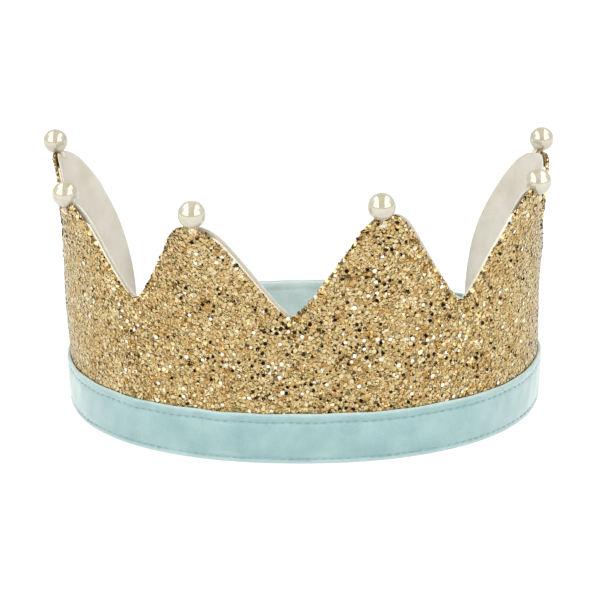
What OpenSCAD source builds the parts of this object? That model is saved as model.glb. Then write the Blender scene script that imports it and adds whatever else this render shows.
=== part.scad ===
// Soft dress-up crown: a six-pointed glitter cloth wall on a velvet band,
// with a pearl bead sewn to every point. Sizes are in millimetres, the band's
// bottom edge lies at z = 0 and the front of the crown faces -Y.

/* [Band] */
// Half of the band's width over its outer face
half_width = 89; // [80:0.5:98]
// Half of the band's depth, front to back, over its outer face
half_depth = 67.4; // [62:0.1:78]
// How square the band lies in plan, where 2 is an ellipse
squareness = 2.17; // [2:0.01:3]
// Height of the velvet band
band_height = 18.5; // [14:0.5:24]
// Thickness of one velvet strip with its pile
velvet_thickness = 1; // [0.6:0.1:1.4]
// Height of the turned-in hem that closes the band's bottom edge
hem_height = 1; // [0.6:0.1:1.2]

/* [Points] */
// Distance from one point to the next, along the band
point_pitch = 58; // [50:0.5:62]
// Height of the dips between the points
dip_height = 52.5; // [40:0.5:62]
// Height of the cloth at the points, beside the beads
point_height = 88; // [80:0.1:92]
// Distance along the band from a rear point to the wall's rear edge
rear_reach = 31.5; // [28:0.5:40]

/* [Wall layers] */
// Thickness of the glitter cloth with its flakes
glitter_thickness = 0.9; // [0.6:0.1:1.2]
// Thickness of the felt inside the wall
felt_thickness = 1; // [0.9:0.1:1.5]
// Thickness of the cotton lining
lining_thickness = 0.5; // [0.3:0.1:0.8]
// Clearance between two layers
layer_gap = 0.08; // [0.06:0.01:0.12]

/* [Pearls] */
// Diameter of one bead
bead_diameter = 8.9; // [7:0.1:10]
// Height of the beads' centres
bead_height = 91.3; // [88:0.1:96]
// Width of the flat shank under a bead
shank_width = 3.2; // [2.6:0.1:4]
// Length of the shank below the bead
shank_length = 3.6; // [3:0.1:4.5]

/* [Sewing] */
// Thickness of the topstitching thread
thread_size = 0.3; // [0.2:0.05:0.4]
// Height of the upper seam's centre line
upper_seam_height = 15.3; // [13:0.1:16]
// Height of the lower seam's centre line
lower_seam_height = 1.8; // [1.6:0.1:4]
// Width of the elastic inside the back of the band
elastic_width = 12; // [8:0.5:13]
// Thickness of the elastic
elastic_thickness = 1.4; // [1:0.1:1.8]

/* [Hidden] */

// The points are cut and sewn by hand, so they don't stand alike. From the
// left rear point round the front to the right rear one: how far each point
// is shifted along the band, how far its tip is above or below the common
// height, and how far it leans out.
point_shift = [3.7, 1.8, -3.2, 0.3, -1.6, 2.7];
point_rise = [0.2, -3, -1.9, 0.1, 0.6, -3.4];
point_lean = [5.6, 3, 8.7, 1.5, 2.6, 7];
last_point = len(point_lean) - 1;
point_places = [for (i = [0:last_point]) (i - last_point / 2) * point_pitch + point_shift[i]];

// The same for each bead, where the shift is from its point
bead_shift = [-0.2, -1.1, 1.3, -2, 4.1, 2];
bead_rise = [0.6, -3.9, -0.7, -0.3, -1.4, -2.2];
bead_places = point_places + bead_shift;

// The same for the dips between the points
dip_shift = [0.3, -0.3, -1.9, -0.3, 0.8];
dip_rise = [1, 0.5, -1.8, -0.5, 0.9];
dip_lean = [-4.9, -1.9, 0.8, 0, -0.4];
dip_places = [
    for (i = [0:last_point - 1]) (i - (last_point - 1) / 2) * point_pitch + dip_shift[i]
];

// The wall stands upright to about this height, bends outwards over the blend
// round it, and is straight from there up
lean_foot = 58;
lean_blend = 0.45;

// Where a slope and the rear edges have an upright edge, as shares of their
// length from the point, closer together where the top edge turns
slope_shares = [
    0.035, 0.07, 0.105, 0.14, 0.18, 0.23, 0.29, 0.38, 0.5, 0.64, 0.76, 0.86, 0.93, 0.97
];
rear_shares = [
    0.03, 0.06, 0.09, 0.12, 0.15, 0.2, 0.3, 0.41, 0.52,
    0.63, 0.73, 0.81, 0.88, 0.93, 0.96, 0.98, 0.995, 1
];

bead_radius = bead_diameter / 2;
bead_clearance = 0.12;

// Outward distances of the layers' faces from the band's outer face
glitter_face = -velvet_thickness - layer_gap;
felt_middle = glitter_face - glitter_thickness - layer_gap - felt_thickness / 2;
lining_back = felt_middle - felt_thickness / 2 - layer_gap - lining_thickness;
inner_strip_face = lining_back - layer_gap;
band_back = inner_strip_face - velvet_thickness;
wall_bottom = hem_height + 0.2;

// Heights of the wall at which every upright edge has a corner
wall_rows = 6;
row_shares = [0, 0.33, 0.57, 0.81, 1];

ring_sides = 144;
curve_steps = 720;

function signed_power(value, power) = sign(value) * pow(abs(value), power);

function curve_point(angle) = [
    half_width * signed_power(sin(angle), 2 / squareness),
    -half_depth * signed_power(cos(angle), 2 / squareness)
];

// The band's outer face in plan, from the middle of the front towards +X,
// and the distance along it to each of its corners
curve = [for (i = [0:curve_steps]) curve_point(i * 360 / curve_steps)];
curve_length = [
    for (i = 0, total = 0;
         i <= curve_steps;
         total = total + (i < curve_steps ? norm(curve[i + 1] - curve[i]) : 0), i = i + 1)
    total
];
ring_length = curve_length[curve_steps];
x_along = [for (i = [0:curve_steps]) [curve_length[i], curve[i].x]];
y_along = [for (i = [0:curve_steps]) [curve_length[i], curve[i].y]];

function wrapped(place) = place - ring_length * floor(place / ring_length);

function ring_point(place) = [
    lookup(wrapped(place), x_along),
    lookup(wrapped(place), y_along)
];

function ring_outward(place) =
    let (spot = ring_point(place))
    let (slope = [
        signed_power(spot.x / half_width, squareness - 1) / half_width,
        signed_power(spot.y / half_depth, squareness - 1) / half_depth
    ])
    slope / norm(slope);

function beside_ring(place, out) = ring_point(place) + out * ring_outward(place);

// Smooth joins of two heights, rounded over the given blend
function blend_depth(a, b, blend) = pow(max(blend - abs(a - b), 0), 2) / (4 * blend);
function smooth_min(a, b, blend) = min(a, b) - blend_depth(a, b, blend);
function smooth_max(a, b, blend) = max(a, b) + blend_depth(a, b, blend);

// Height of the top edge at a distance from a point: a nearly straight slope
// that sags a little between a blunt rounded tip and a rounded dip
tip_reach = 6.3;
slope_sag = 2;
tip_blend = 7.2;
dip_blend = 5.5;
dip_floor = 1.2;
function slope_height(away, span, tip, dip) =
    let (share = away / span)
    let (climb = (tip - dip) * (1 - share) / (1 - tip_reach / span))
    let (line = dip + climb - slope_sag * sin(180 * share))
    smooth_max(smooth_min(line, tip, tip_blend), dip + dip_floor, dip_blend);

// Height of the top edge behind a rear point: a full curve down to the band
rear_peak = 4;
function rear_height(away, tip) =
    let (share = min(away / rear_reach, 1))
    let (fall = pow(1 - pow(share, 1.38), 0.515))
    smooth_min(band_height + (tip + rear_peak - band_height) * fall, tip, tip_blend);

// The point that a place belongs to
function point_at(place) = len([for (dip = dip_places) if (dip < place) dip]);

function is_rear(place) = place < point_places[0] || place > point_places[last_point];

// Height of the cloths' common top edge
function cloth_edge(place) =
    let (i = point_at(place))
    let (away = place - point_places[i])
    let (dip = max(0, min(last_point - 1, away > 0 ? i : i - 1)))
    let (tip = point_height + point_rise[i])
    let (span = abs(dip_places[dip] - point_places[i]))
    is_rear(place)
        ? rear_height(abs(away), tip)
        : slope_height(abs(away), span, tip, dip_height + dip_rise[dip]);

// An edge kept between the band's top and the bead
function under_bead(place, edge) =
    let (i = point_at(place))
    let (away = min(abs(place - bead_places[i]), bead_radius))
    let (centre = bead_height + bead_rise[i])
    let (floor = centre - sqrt(bead_radius * bead_radius - away * away) - bead_clearance)
    max(band_height, min(edge, floor));

function glitter_height(place) = under_bead(place, cloth_edge(place));

// The lining's points are cut a little further round than the glitter cloth's
lining_shift = 0.8;
function lining_height(place) =
    under_bead(place, cloth_edge(is_rear(place) ? place : place - lining_shift));

// The felt is cut off below the shanks
function felt_height(place) =
    let (shank_foot = bead_height + bead_rise[point_at(place)] - bead_radius - shank_length)
    min(under_bead(place, cloth_edge(place) - 0.6), shank_foot - 0.3);

// Points and dips in turn, with the lean of each
lean_places = [
    for (i = [0:last_point])
        each (i < last_point ? [point_places[i], dip_places[i]] : [point_places[i]])
];
leans = [
    for (i = [0:last_point])
        each (i < last_point ? [point_lean[i], dip_lean[i]] : [point_lean[i]])
];

function lean_between(a, b, share) = a + (b - a) * (1 - cos(180 * share)) / 2;

function lean_at(place) =
    let (inside = max(lean_places[0], min(place, lean_places[2 * last_point])))
    let (i = min(len([for (spot = lean_places) if (spot <= inside) spot]) - 1, 2 * last_point - 1))
    lean_between(
        leans[i],
        leans[i + 1],
        (inside - lean_places[i]) / (lean_places[i + 1] - lean_places[i])
    );

// How far the middle of the wall stands outside the band's outer face
lean_rise = bead_height - lean_foot;
function wall_middle(place, height) =
    felt_middle
    + (lean_at(place) - felt_middle) * smooth_max((height - lean_foot) / lean_rise, 0, lean_blend);

function reversed(list) = [for (i = [len(list) - 1:-1:0]) list[i]];

// Places of the wall's upright edges, from the left rear edge to the right one
function spread(from, to, shares) = [for (share = shares) from + (to - from) * share];
wall_places = [
    each reversed(spread(point_places[0], point_places[0] - rear_reach, rear_shares)),
    for (i = [0:last_point])
        each concat(
            i == 0 ? [] : reversed(spread(point_places[i], dip_places[i - 1], slope_shares)),
            [point_places[i]],
            i == last_point ? [] : spread(point_places[i], dip_places[i], slope_shares),
            i == last_point ? [] : [dip_places[i]]
        ),
    each spread(point_places[last_point], point_places[last_point] + rear_reach, rear_shares)
];

function row_height(row, top) =
    row == 0 ? wall_bottom : band_height + (top - band_height) * row_shares[row - 1];

// Corners of one face of a wall layer, upright edge by upright edge
function face_corners(from_middle, tops) = [
    for (i = [0:len(wall_places) - 1], row = [0:wall_rows - 1])
        let (height = row_height(row, tops[i]) - (row == 1 ? 0.01 : 0))
        let (spot = beside_ring(wall_places[i], wall_middle(wall_places[i], height) + from_middle))
        [spot.x, spot.y, height]
];

// One layer of the wall, between two distances from the wall's middle
module wall_layer(outer, inner, tops) {
    count = len(wall_places);
    side = count * wall_rows;
    last = wall_rows - 1;
    end = (count - 1) * wall_rows;
    corners = concat(face_corners(outer, tops), face_corners(inner, tops));
    outer_faces = [
        for (i = [0:count - 2], row = [0:last - 1])
            let (a = i * wall_rows + row)
            [a, a + 1, a + wall_rows + 1, a + wall_rows]
    ];
    inner_faces = [for (face = outer_faces) [for (corner = reversed(face)) corner + side]];
    top_faces = [
        for (i = [0:count - 2])
            let (a = i * wall_rows + last)
            [a, a + side, a + side + wall_rows, a + wall_rows]
    ];
    bottom_faces = [
        for (i = [0:count - 2])
            let (a = i * wall_rows)
            [a, a + wall_rows, a + side + wall_rows, a + side]
    ];
    end_faces = [
        for (row = [0:last - 1])
            each [
                [row, row + side, row + side + 1, row + 1],
                [end + row, end + row + 1, end + row + side + 1, end + row + side]
            ]
    ];
    polyhedron(
        points = corners,
        faces = concat(outer_faces, inner_faces, top_faces, bottom_faces, end_faces)
    );
}

function ring_outline(out) =
    [for (i = [0:ring_sides - 1]) beside_ring(i * ring_length / ring_sides, out)];

// A closed hoop that follows the band, between two outward distances
module hoop(outer, inner, bottom, height) {
    translate([0, 0, bottom])
        linear_extrude(height = height)
            difference() {
                polygon(ring_outline(outer));
                polygon(ring_outline(inner));
            }
}

// A strip that follows the band from one place to another
module hoop_part(outer, inner, bottom, height, start, stop) {
    sides = 60;
    places = [for (i = [0:sides]) start + (stop - start) * i / sides];
    translate([0, 0, bottom])
        linear_extrude(height = height)
            polygon(concat(
                [for (place = places) beside_ring(place, outer)],
                reversed([for (place = places) beside_ring(place, inner)])
            ));
}

glitter_outer = felt_thickness / 2 + layer_gap + glitter_thickness;
glitter_inner = felt_thickness / 2 + layer_gap;
lining_outer = -felt_thickness / 2 - layer_gap;
lining_inner = lining_outer - lining_thickness;

module glitter_panel() {
    color("#c9a463")
        wall_layer(glitter_outer, glitter_inner, [for (place = wall_places) glitter_height(place)]);
}

module felt_stiffener() {
    color("#e6e0d2")
        wall_layer(
            felt_thickness / 2,
            -felt_thickness / 2,
            [for (place = wall_places) felt_height(place)]
        );
}

module cotton_lining() {
    color("#efe6d2")
        wall_layer(lining_outer, lining_inner, [for (place = wall_places) lining_height(place)]);
}

// The two velvet strips' hems meet under the wall's bottom edge
hem_meeting = felt_middle;
hem_overlap = 0.2;

module velvet_outer_strip() {
    color("#a9cfce")
        union() {
            hoop(0, -velvet_thickness, 0, band_height);
            hoop(-velvet_thickness + hem_overlap, hem_meeting + layer_gap / 2, 0, hem_height);
        }
}

module velvet_inner_strip() {
    color("#b5c8bf")
        union() {
            hoop(inner_strip_face, band_back, 0, band_height);
            hoop(hem_meeting - layer_gap / 2, inner_strip_face - hem_overlap, 0, hem_height);
        }
}

// The elastic bridges the back of the band, between the wall's rear edges
elastic_clearance = 1.5;
elastic_middle = (inner_strip_face - velvet_thickness) / 2;
elastic_right = point_places[last_point] + rear_reach + elastic_clearance;
elastic_left = point_places[0] - rear_reach - elastic_clearance;
elastic_bottom = (upper_seam_height + lower_seam_height - elastic_width) / 2;

module back_elastic() {
    color("#f2efe6")
        hoop_part(
            elastic_middle + elastic_thickness / 2,
            elastic_middle - elastic_thickness / 2,
            elastic_bottom,
            elastic_width,
            elastic_right,
            ring_length + elastic_left
        );
}

// Topstitching lies on the velvet's faces
seam_lift = 0.02;

module outer_seam(height) {
    color("#7fb3bd")
        hoop(seam_lift + thread_size, seam_lift, height - thread_size / 2, thread_size);
}

module inner_seam(height) {
    color("#7fb3bd")
        hoop(
            band_back - seam_lift,
            band_back - seam_lift - thread_size,
            height - thread_size / 2,
            thread_size
        );
}

// A frame on the band: local X runs along it towards +X at the front, local
// -Y points out and local Z is up
module at_place(place, out) {
    outward = ring_outward(place);
    spot = beside_ring(place, out);
    translate([spot.x, spot.y, 0])
        rotate([0, 0, atan2(outward.y, outward.x) + 90])
            children();
}

// A bar of tight stitches through both strips and the end of the elastic
tack_stitches = 5;
tack_height = 9;
tack_inset = 3;
needle_radius = 0.2;
tack_pitch = (tack_height - 1) / (tack_stitches - 1);

module elastic_tack(place) {
    reach = -band_back + 2 * seam_lift;
    bottom = elastic_bottom + (elastic_width - tack_height) / 2;
    color("#7fb3bd")
        at_place(place, 0)
            union() {
                for (depth = [-seam_lift - needle_radius, reach + needle_radius])
                    translate([0, depth, bottom])
                        cylinder(r = needle_radius, h = tack_height, $fn = 24);
                for (i = [0:tack_stitches - 1])
                    translate([0, -seam_lift - needle_radius, bottom + 0.5 + i * tack_pitch])
                        rotate([-90, 0, 0])
                            cylinder(r = needle_radius * 0.8, h = reach + 2 * needle_radius, $fn = 24);
            }
}

// A frame at a bead's centre, turned and tilted with the wall under it
module at_bead(i) {
    place = bead_places[i];
    height = bead_height + bead_rise[i];
    spot = beside_ring(place, wall_middle(place, height));
    ahead = beside_ring(place + 1, wall_middle(place + 1, height)) - spot;
    translate([spot.x, spot.y, height])
        rotate([0, 0, atan2(ahead.y, ahead.x)])
            rotate([atan((lean_at(place) - felt_middle) / lean_rise), 0, 0])
                children();
}

// A bead with the flat drilled shank that is sewn in between the cloths
shank_thickness = 0.8;
shank_hold = 0.5;
eye_radius = 0.65;
eye_drop = bead_radius + shank_length - shank_width / 2;

module pearl(i) {
    color("#f0ebdf")
        at_bead(i)
            difference() {
                union() {
                    sphere(r = bead_radius, $fn = 64);
                    translate([-shank_width / 2, -shank_thickness / 2, -eye_drop])
                        cube([shank_width, shank_thickness, eye_drop - bead_radius + shank_hold]);
                    translate([0, shank_thickness / 2, -eye_drop])
                        rotate([90, 0, 0])
                            cylinder(r = shank_width / 2, h = shank_thickness, $fn = 48);
                }
                translate([0, shank_thickness, -eye_drop])
                    rotate([90, 0, 0])
                        cylinder(r = eye_radius, h = 2 * shank_thickness, $fn = 32);
            }
}

// Sewing thread through the eye, with a few stitches up each face of the point
thread_bundle_radius = 0.5;
stitch_radius = 0.22;
stitch_length = 2.6;
stitches_on_face = 3;

module pearl_thread(i) {
    front = -glitter_outer - stitch_radius - seam_lift;
    back = -lining_inner + stitch_radius + seam_lift;
    color("#efe4cd")
        at_bead(i)
            translate([0, 0, -eye_drop])
                union() {
                    translate([0, back, 0])
                        rotate([90, 0, 0])
                            cylinder(r = thread_bundle_radius, h = back - front, $fn = 32);
                    for (depth = [front, back], n = [0:stitches_on_face - 1])
                        translate([(n - (stitches_on_face - 1) / 2) * 0.36, depth, -stitch_radius])
                            cylinder(r = stitch_radius, h = stitch_length, $fn = 24);
                }
}

glitter_panel();
felt_stiffener();
cotton_lining();
velvet_outer_strip();
velvet_inner_strip();
back_elastic();
outer_seam(upper_seam_height);  // upper_seam_needle_thread
inner_seam(upper_seam_height);  // upper_seam_bobbin_thread
outer_seam(lower_seam_height);  // lower_seam_needle_thread
inner_seam(lower_seam_height);  // lower_seam_bobbin_thread
elastic_tack(elastic_left - tack_inset);  // elastic_tack_left
elastic_tack(elastic_right + tack_inset);  // elastic_tack_right
pearl(0);  // pearl_back_left
pearl(1);  // pearl_side_left
pearl(2);  // pearl_front_left
pearl(3);  // pearl_front_right
pearl(4);  // pearl_side_right
pearl(5);  // pearl_back_right
pearl_thread(0);  // pearl_thread_back_left
pearl_thread(1);  // pearl_thread_side_left
pearl_thread(2);  // pearl_thread_front_left
pearl_thread(3);  // pearl_thread_front_right
pearl_thread(4);  // pearl_thread_side_right
pearl_thread(5);  // pearl_thread_back_right
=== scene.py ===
"""Looks of a soft dress-up crown: glitter cloth points on a velvet band, with a pearl on every point.

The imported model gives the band's size and the beads' places. Everything else is worked out from
those and from the cloths' own sizes. Lengths inside the classes are millimetres, and meshes are
made in metres.
"""

import logging
import math
from collections.abc import Sequence
from dataclasses import dataclass, field
from enum import Enum

import bmesh
import bpy
import numpy as np
from mathutils import Matrix, Vector


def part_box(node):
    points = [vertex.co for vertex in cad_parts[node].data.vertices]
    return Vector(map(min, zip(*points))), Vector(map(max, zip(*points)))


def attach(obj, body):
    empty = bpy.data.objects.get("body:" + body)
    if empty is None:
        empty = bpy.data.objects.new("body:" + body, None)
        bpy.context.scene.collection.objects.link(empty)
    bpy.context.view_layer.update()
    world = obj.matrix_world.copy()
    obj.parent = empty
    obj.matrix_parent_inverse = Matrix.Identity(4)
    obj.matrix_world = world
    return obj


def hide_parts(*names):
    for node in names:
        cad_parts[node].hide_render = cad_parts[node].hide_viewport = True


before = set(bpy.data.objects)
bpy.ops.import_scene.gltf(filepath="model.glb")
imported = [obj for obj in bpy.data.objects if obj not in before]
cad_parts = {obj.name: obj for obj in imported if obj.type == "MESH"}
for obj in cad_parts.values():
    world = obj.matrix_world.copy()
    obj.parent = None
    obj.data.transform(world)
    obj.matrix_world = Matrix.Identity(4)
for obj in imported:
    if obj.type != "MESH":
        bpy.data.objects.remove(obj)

LOG = logging.getLogger("crown")
MM = 0.001
BODY = "root"
CLOTH_MAP = "cloth"
# A direction that no thread runs along, and how thin a thread's ends are beside the rest of it
THREAD_SIDE = (0.31, 0.17, 0.93)
THREAD_END = 0.35
# How dark the darkest flake is on calm cloth, and the size of the patches of one tone
CALM_DARKEST = 0.22
TONE_PATCH_MM = 5.5


class Side(Enum):
    """Which face of the band a strip or a seam belongs to."""

    OUTER = 1
    INNER = -1


class Foil(Enum):
    """Which colour of foil a flake is cut from. The nearly black foil is a painted dark reflection and the
    nearly white one a painted glint.
    """

    GOLD = "gold_flakes"
    BLACK = "painted_dark_reflection_flakes"
    PAINTED_GLINT = "painted_glint_flakes"


# ---------------------------------------------------------------- colours and nodes


def srgb(code: str) -> tuple[float, float, float, float]:
    """Turns an sRGB hex colour into Blender's linear colour.

    Args:
        code: The colour as six hex digits after a #.

    Returns:
        Linear red, green, blue and an alpha of 1.
    """
    parts = [int(code[i : i + 2], 16) / 255 for i in (1, 3, 5)]
    linear = [p / 12.92 if p <= 0.04045 else ((p + 0.055) / 1.055) ** 2.4 for p in parts]
    return (*linear, 1.0)


def per_metre(size_mm: float) -> float:
    """Gives the scale of a pattern that repeats every so many millimetres."""
    return 1 / (size_mm * MM)


def wire(tree: bpy.types.NodeTree, node: bpy.types.Node, inputs: dict) -> None:
    """Gives a node's sockets their values and links.

    Args:
        tree: The node's tree.
        node: The node.
        inputs: Socket name or number to a value, or to the output socket it is linked from.
    """
    for key, value in inputs.items():
        if isinstance(value, bpy.types.NodeSocket):
            tree.links.new(value, node.inputs[key])
        else:
            node.inputs[key].default_value = value


def add_node(
    tree: bpy.types.NodeTree,
    kind: str,
    inputs: dict | None = None,
    stops: Sequence[tuple[float, str]] = (),
    **settings: object,
) -> bpy.types.Node:
    """Adds one node with its settings, values and links.

    Args:
        tree: The shader or geometry tree.
        kind: The node's type.
        inputs: Socket name or number to a value, or to the output socket it is linked from.
        stops: Place and sRGB colour of each stop, where the node has a colour ramp.
        **settings: The node's own properties.

    Returns:
        The new node.
    """
    node = tree.nodes.new(kind)
    for name, value in settings.items():
        setattr(node, name, value)
    if stops:
        marks = node.color_ramp.elements
        while len(marks) < len(stops):
            marks.new(1.0)
        for mark, (place, code) in zip(marks, stops):
            mark.position = place
            mark.color = srgb(code)
    wire(tree, node, inputs or {})
    return node


def new_material(name: str, look: str) -> tuple[bpy.types.Material, bpy.types.NodeTree, bpy.types.Node]:
    """Makes a material with a bare Principled shader.

    Args:
        name: The material's name.
        look: The colour shown in solid view, as sRGB hex.

    Returns:
        The material, its tree and its shader node.
    """
    material = bpy.data.materials.new(name)
    material.use_nodes = True
    material.diffuse_color = srgb(look)
    tree = material.node_tree
    return material, tree, tree.nodes["Principled BSDF"]


# ---------------------------------------------------------------- finishes


@dataclass(frozen=True)
class Velvet:
    """Short cut-pile velvet. The pile lights up where it is seen edge on, by the shader's sheen and by a
    painted sheen at the band's ends and edges, and brushing leaves blotches.
    """

    name: str = "aqua_velvet"
    brushed_down: str = "#7fa1a2"
    brushed_up: str = "#95b2b1"
    # Painted sheen: a paler colour mixed in where the cloth turns over its top and bottom edges and at the
    # band's ends, where the pile is seen edge on
    painted_sheen: str = "#aebfba"
    sheen_tint: str = "#f6faf8"
    band_mm: float = 18.5
    half_width_mm: float = 89.0
    blotch_mm: float = 9.0
    # Real pile is 0.2 mm apart. Tufts are drawn at 0.55 mm, so that they show
    pile_mm: float = 0.55
    pile_depth_mm: float = 0.12
    pile_share: float = 0.35

    def make(self) -> bpy.types.Material:
        """Builds the material.

        Returns:
            The material.
        """
        material, tree, shader = new_material(self.name, self.brushed_up)
        place = add_node(tree, "ShaderNodeTexCoord").outputs["Object"]
        blotch, pile = (
            add_node(
                tree, "ShaderNodeTexNoise", {"Vector": place, "Scale": per_metre(size), "Detail": detail}
            ).outputs["Fac"]
            for size, detail in ((self.blotch_mm, 3.0), (self.pile_mm, 1.0))
        )
        lean = add_node(
            tree, "ShaderNodeMath", {0: pile, 1: self.pile_share}, operation="MULTIPLY"
        ).outputs[0]
        both = add_node(tree, "ShaderNodeMath", {0: blotch, 1: lean}, operation="ADD").outputs[0]
        brushed = add_node(
            tree, "ShaderNodeValToRGB", {"Fac": both}, [(0.45, self.brushed_down), (0.85, self.brushed_up)]
        ).outputs["Color"]
        # Painted sheen: the paler colour is mixed in at the band's ends and along its top and bottom edges
        colour = add_node(
            tree,
            "ShaderNodeMix",
            {0: self.painted_sheen_share(tree, place), 6: brushed, 7: srgb(self.painted_sheen)},
            data_type="RGBA",
        ).outputs[2]
        tufts = add_node(tree, "ShaderNodeBump", {"Height": pile, "Distance": self.pile_depth_mm * MM})
        wire(
            tree,
            shader,
            {
                "Base Color": colour,
                "Normal": tufts.outputs["Normal"],
                "Roughness": 0.9,
                "Specular IOR Level": 0.1,
                "Sheen Weight": 1.0,
                "Sheen Roughness": 0.5,
                "Sheen Tint": srgb(self.sheen_tint),
            },
        )
        return material

    def painted_sheen_share(self, tree: bpy.types.NodeTree, place: bpy.types.NodeSocket) -> bpy.types.NodeSocket:
        """Works out how much painted sheen is mixed into the colour.

        Args:
            tree: The shader tree.
            place: The piece's coordinates in metres.

        Returns:
            The socket of a share from 0 to 1.
        """
        axes = add_node(tree, "ShaderNodeSeparateXYZ", {0: place})
        wide = add_node(tree, "ShaderNodeMath", {0: axes.outputs["X"]}, operation="ABSOLUTE").outputs[0]
        height = axes.outputs["Z"]
        # Painted sheen at the ends of the band, its bottom edge and its top edge: where each starts and
        # stops, and its share
        spans = (
            (wide, self.half_width_mm * 0.7, self.half_width_mm, 0.5),
            (height, 1.7, 0.4, 0.7),
            (height, self.band_mm - 1.0, self.band_mm - 0.1, 0.9),
        )
        shares = [
            add_node(
                tree,
                "ShaderNodeMapRange",
                {"Value": value, "From Min": start * MM, "From Max": stop * MM, "To Max": most},
            ).outputs[0]
            for value, start, stop, most in spans
        ]
        edges = add_node(tree, "ShaderNodeMath", {0: shares[1], 1: shares[2]}, operation="MAXIMUM").outputs[0]
        return add_node(tree, "ShaderNodeMath", {0: shares[0], 1: edges}, operation="MAXIMUM").outputs[0]


@dataclass(frozen=True)
class WovenCotton:
    """Plain woven cotton: matt, warm white, with a fine over-and-under grain."""

    name: str = "cream_cotton"
    light: str = "#cfcbc0"
    shaded: str = "#c1bbab"
    # A lining has about 2.5 threads a millimetre. They are drawn at 0.8 mm, so that they show
    thread_mm: float = 0.8
    thread_depth_mm: float = 0.05
    blotch_mm: float = 14.0
    blotch_depth_mm: float = 0.25

    def make(self) -> bpy.types.Material:
        """Builds the material.

        Returns:
            The material.
        """
        material, tree, shader = new_material(self.name, self.light)
        cloth = add_node(tree, "ShaderNodeUVMap", uv_map=CLOTH_MAP).outputs["UV"]
        axes = add_node(tree, "ShaderNodeSeparateXYZ", {0: cloth})
        waves = []
        for axis in ("X", "Y"):
            turn = add_node(
                tree,
                "ShaderNodeMath",
                {0: axes.outputs[axis], 1: 2 * math.pi * per_metre(self.thread_mm)},
                operation="MULTIPLY",
            ).outputs[0]
            waves.append(add_node(tree, "ShaderNodeMath", {0: turn}, operation="SINE").outputs[0])
        weave = add_node(tree, "ShaderNodeMath", {0: waves[0], 1: waves[1]}, operation="MULTIPLY").outputs[0]
        grain = add_node(
            tree, "ShaderNodeMapRange", {"Value": weave, "From Min": -1.0, "From Max": 1.0}
        ).outputs[0]
        place = add_node(tree, "ShaderNodeTexCoord").outputs["Object"]
        blotch = add_node(
            tree, "ShaderNodeTexNoise", {"Vector": place, "Scale": per_metre(self.blotch_mm), "Detail": 4.0}
        ).outputs["Fac"]
        colour = add_node(
            tree, "ShaderNodeValToRGB", {"Fac": blotch}, [(0.35, self.shaded), (0.65, self.light)]
        ).outputs["Color"]
        soft = add_node(
            tree, "ShaderNodeBump", {"Height": blotch, "Distance": self.blotch_depth_mm * MM}
        ).outputs["Normal"]
        woven = add_node(
            tree, "ShaderNodeBump", {"Height": grain, "Distance": self.thread_depth_mm * MM, "Normal": soft}
        ).outputs["Normal"]
        wire(
            tree,
            shader,
            {
                "Base Color": colour,
                "Normal": woven,
                "Roughness": 0.95,
                "Specular IOR Level": 0.2,
                "Sheen Weight": 0.15,
            },
        )
        return material


@dataclass(frozen=True)
class PressedFelt:
    """White polyester felt: matt matted fibres, seen only as a thin line between the cloths."""

    name: str = "pressed_felt"
    light: str = "#e9e3d4"
    shaded: str = "#d9d1bd"
    fibre_mm: float = 0.7
    fibre_depth_mm: float = 0.2

    def make(self) -> bpy.types.Material:
        """Builds the material.

        Returns:
            The material.
        """
        material, tree, shader = new_material(self.name, self.light)
        place = add_node(tree, "ShaderNodeTexCoord").outputs["Object"]
        fibres = add_node(
            tree, "ShaderNodeTexNoise", {"Vector": place, "Scale": per_metre(self.fibre_mm), "Detail": 4.0}
        ).outputs["Fac"]
        colour = add_node(
            tree, "ShaderNodeValToRGB", {"Fac": fibres}, [(0.3, self.shaded), (0.7, self.light)]
        ).outputs["Color"]
        matted = add_node(
            tree, "ShaderNodeBump", {"Height": fibres, "Distance": self.fibre_depth_mm * MM}
        ).outputs["Normal"]
        wire(tree, shader, {"Base Color": colour, "Normal": matted, "Roughness": 1.0})
        return material


@dataclass(frozen=True)
class GlitterGround:
    """The cloth's ground between the flakes: glitter dust in clear glue, each grain facing its own way."""

    name: str = "glitter_ground"
    darkest: str = "#5c4424"
    deep: str = "#94703e"
    middle: str = "#c5a566"
    pale: str = "#e6d5a6"
    # Dust is 0.1 to 0.2 mm. It is drawn at 0.45 mm, so that single grains show
    grain_mm: float = 0.45
    turn: float = 0.9
    # Part of every grain lies under glue, which dulls the foil
    bare_foil: float = 0.7

    def make(self) -> bpy.types.Material:
        """Builds the material.

        Returns:
            The material.
        """
        material, tree, shader = new_material(self.name, self.middle)
        place = add_node(tree, "ShaderNodeTexCoord").outputs["Object"]
        grains = add_node(
            tree, "ShaderNodeTexVoronoi", {"Vector": place, "Scale": per_metre(self.grain_mm)}, feature="F1"
        ).outputs["Color"]
        apart = add_node(tree, "ShaderNodeSeparateColor", {0: grains})
        ramp = add_node(
            tree,
            "ShaderNodeValToRGB",
            {"Fac": apart.outputs["Red"]},
            [(0.0, self.darkest), (0.08, self.deep), (0.4, self.middle), (0.8, self.pale)],
        )
        ramp.color_ramp.interpolation = "CONSTANT"
        away = add_node(
            tree, "ShaderNodeVectorMath", {0: grains, 1: (0.5, 0.5, 0.5)}, operation="SUBTRACT"
        ).outputs[0]
        turned = add_node(
            tree, "ShaderNodeVectorMath", {0: away, "Scale": self.turn}, operation="SCALE"
        ).outputs[0]
        straight = add_node(tree, "ShaderNodeNewGeometry").outputs["Normal"]
        normal = add_node(tree, "ShaderNodeVectorMath", {0: straight, 1: turned}, operation="ADD").outputs[0]
        unit = add_node(tree, "ShaderNodeVectorMath", {0: normal}, operation="NORMALIZE").outputs[0]
        wire(
            tree,
            shader,
            {
                "Base Color": ramp.outputs["Color"],
                "Normal": unit,
                "Metallic": self.bare_foil,
                "Roughness": 0.38,
            },
        )
        return material


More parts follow.
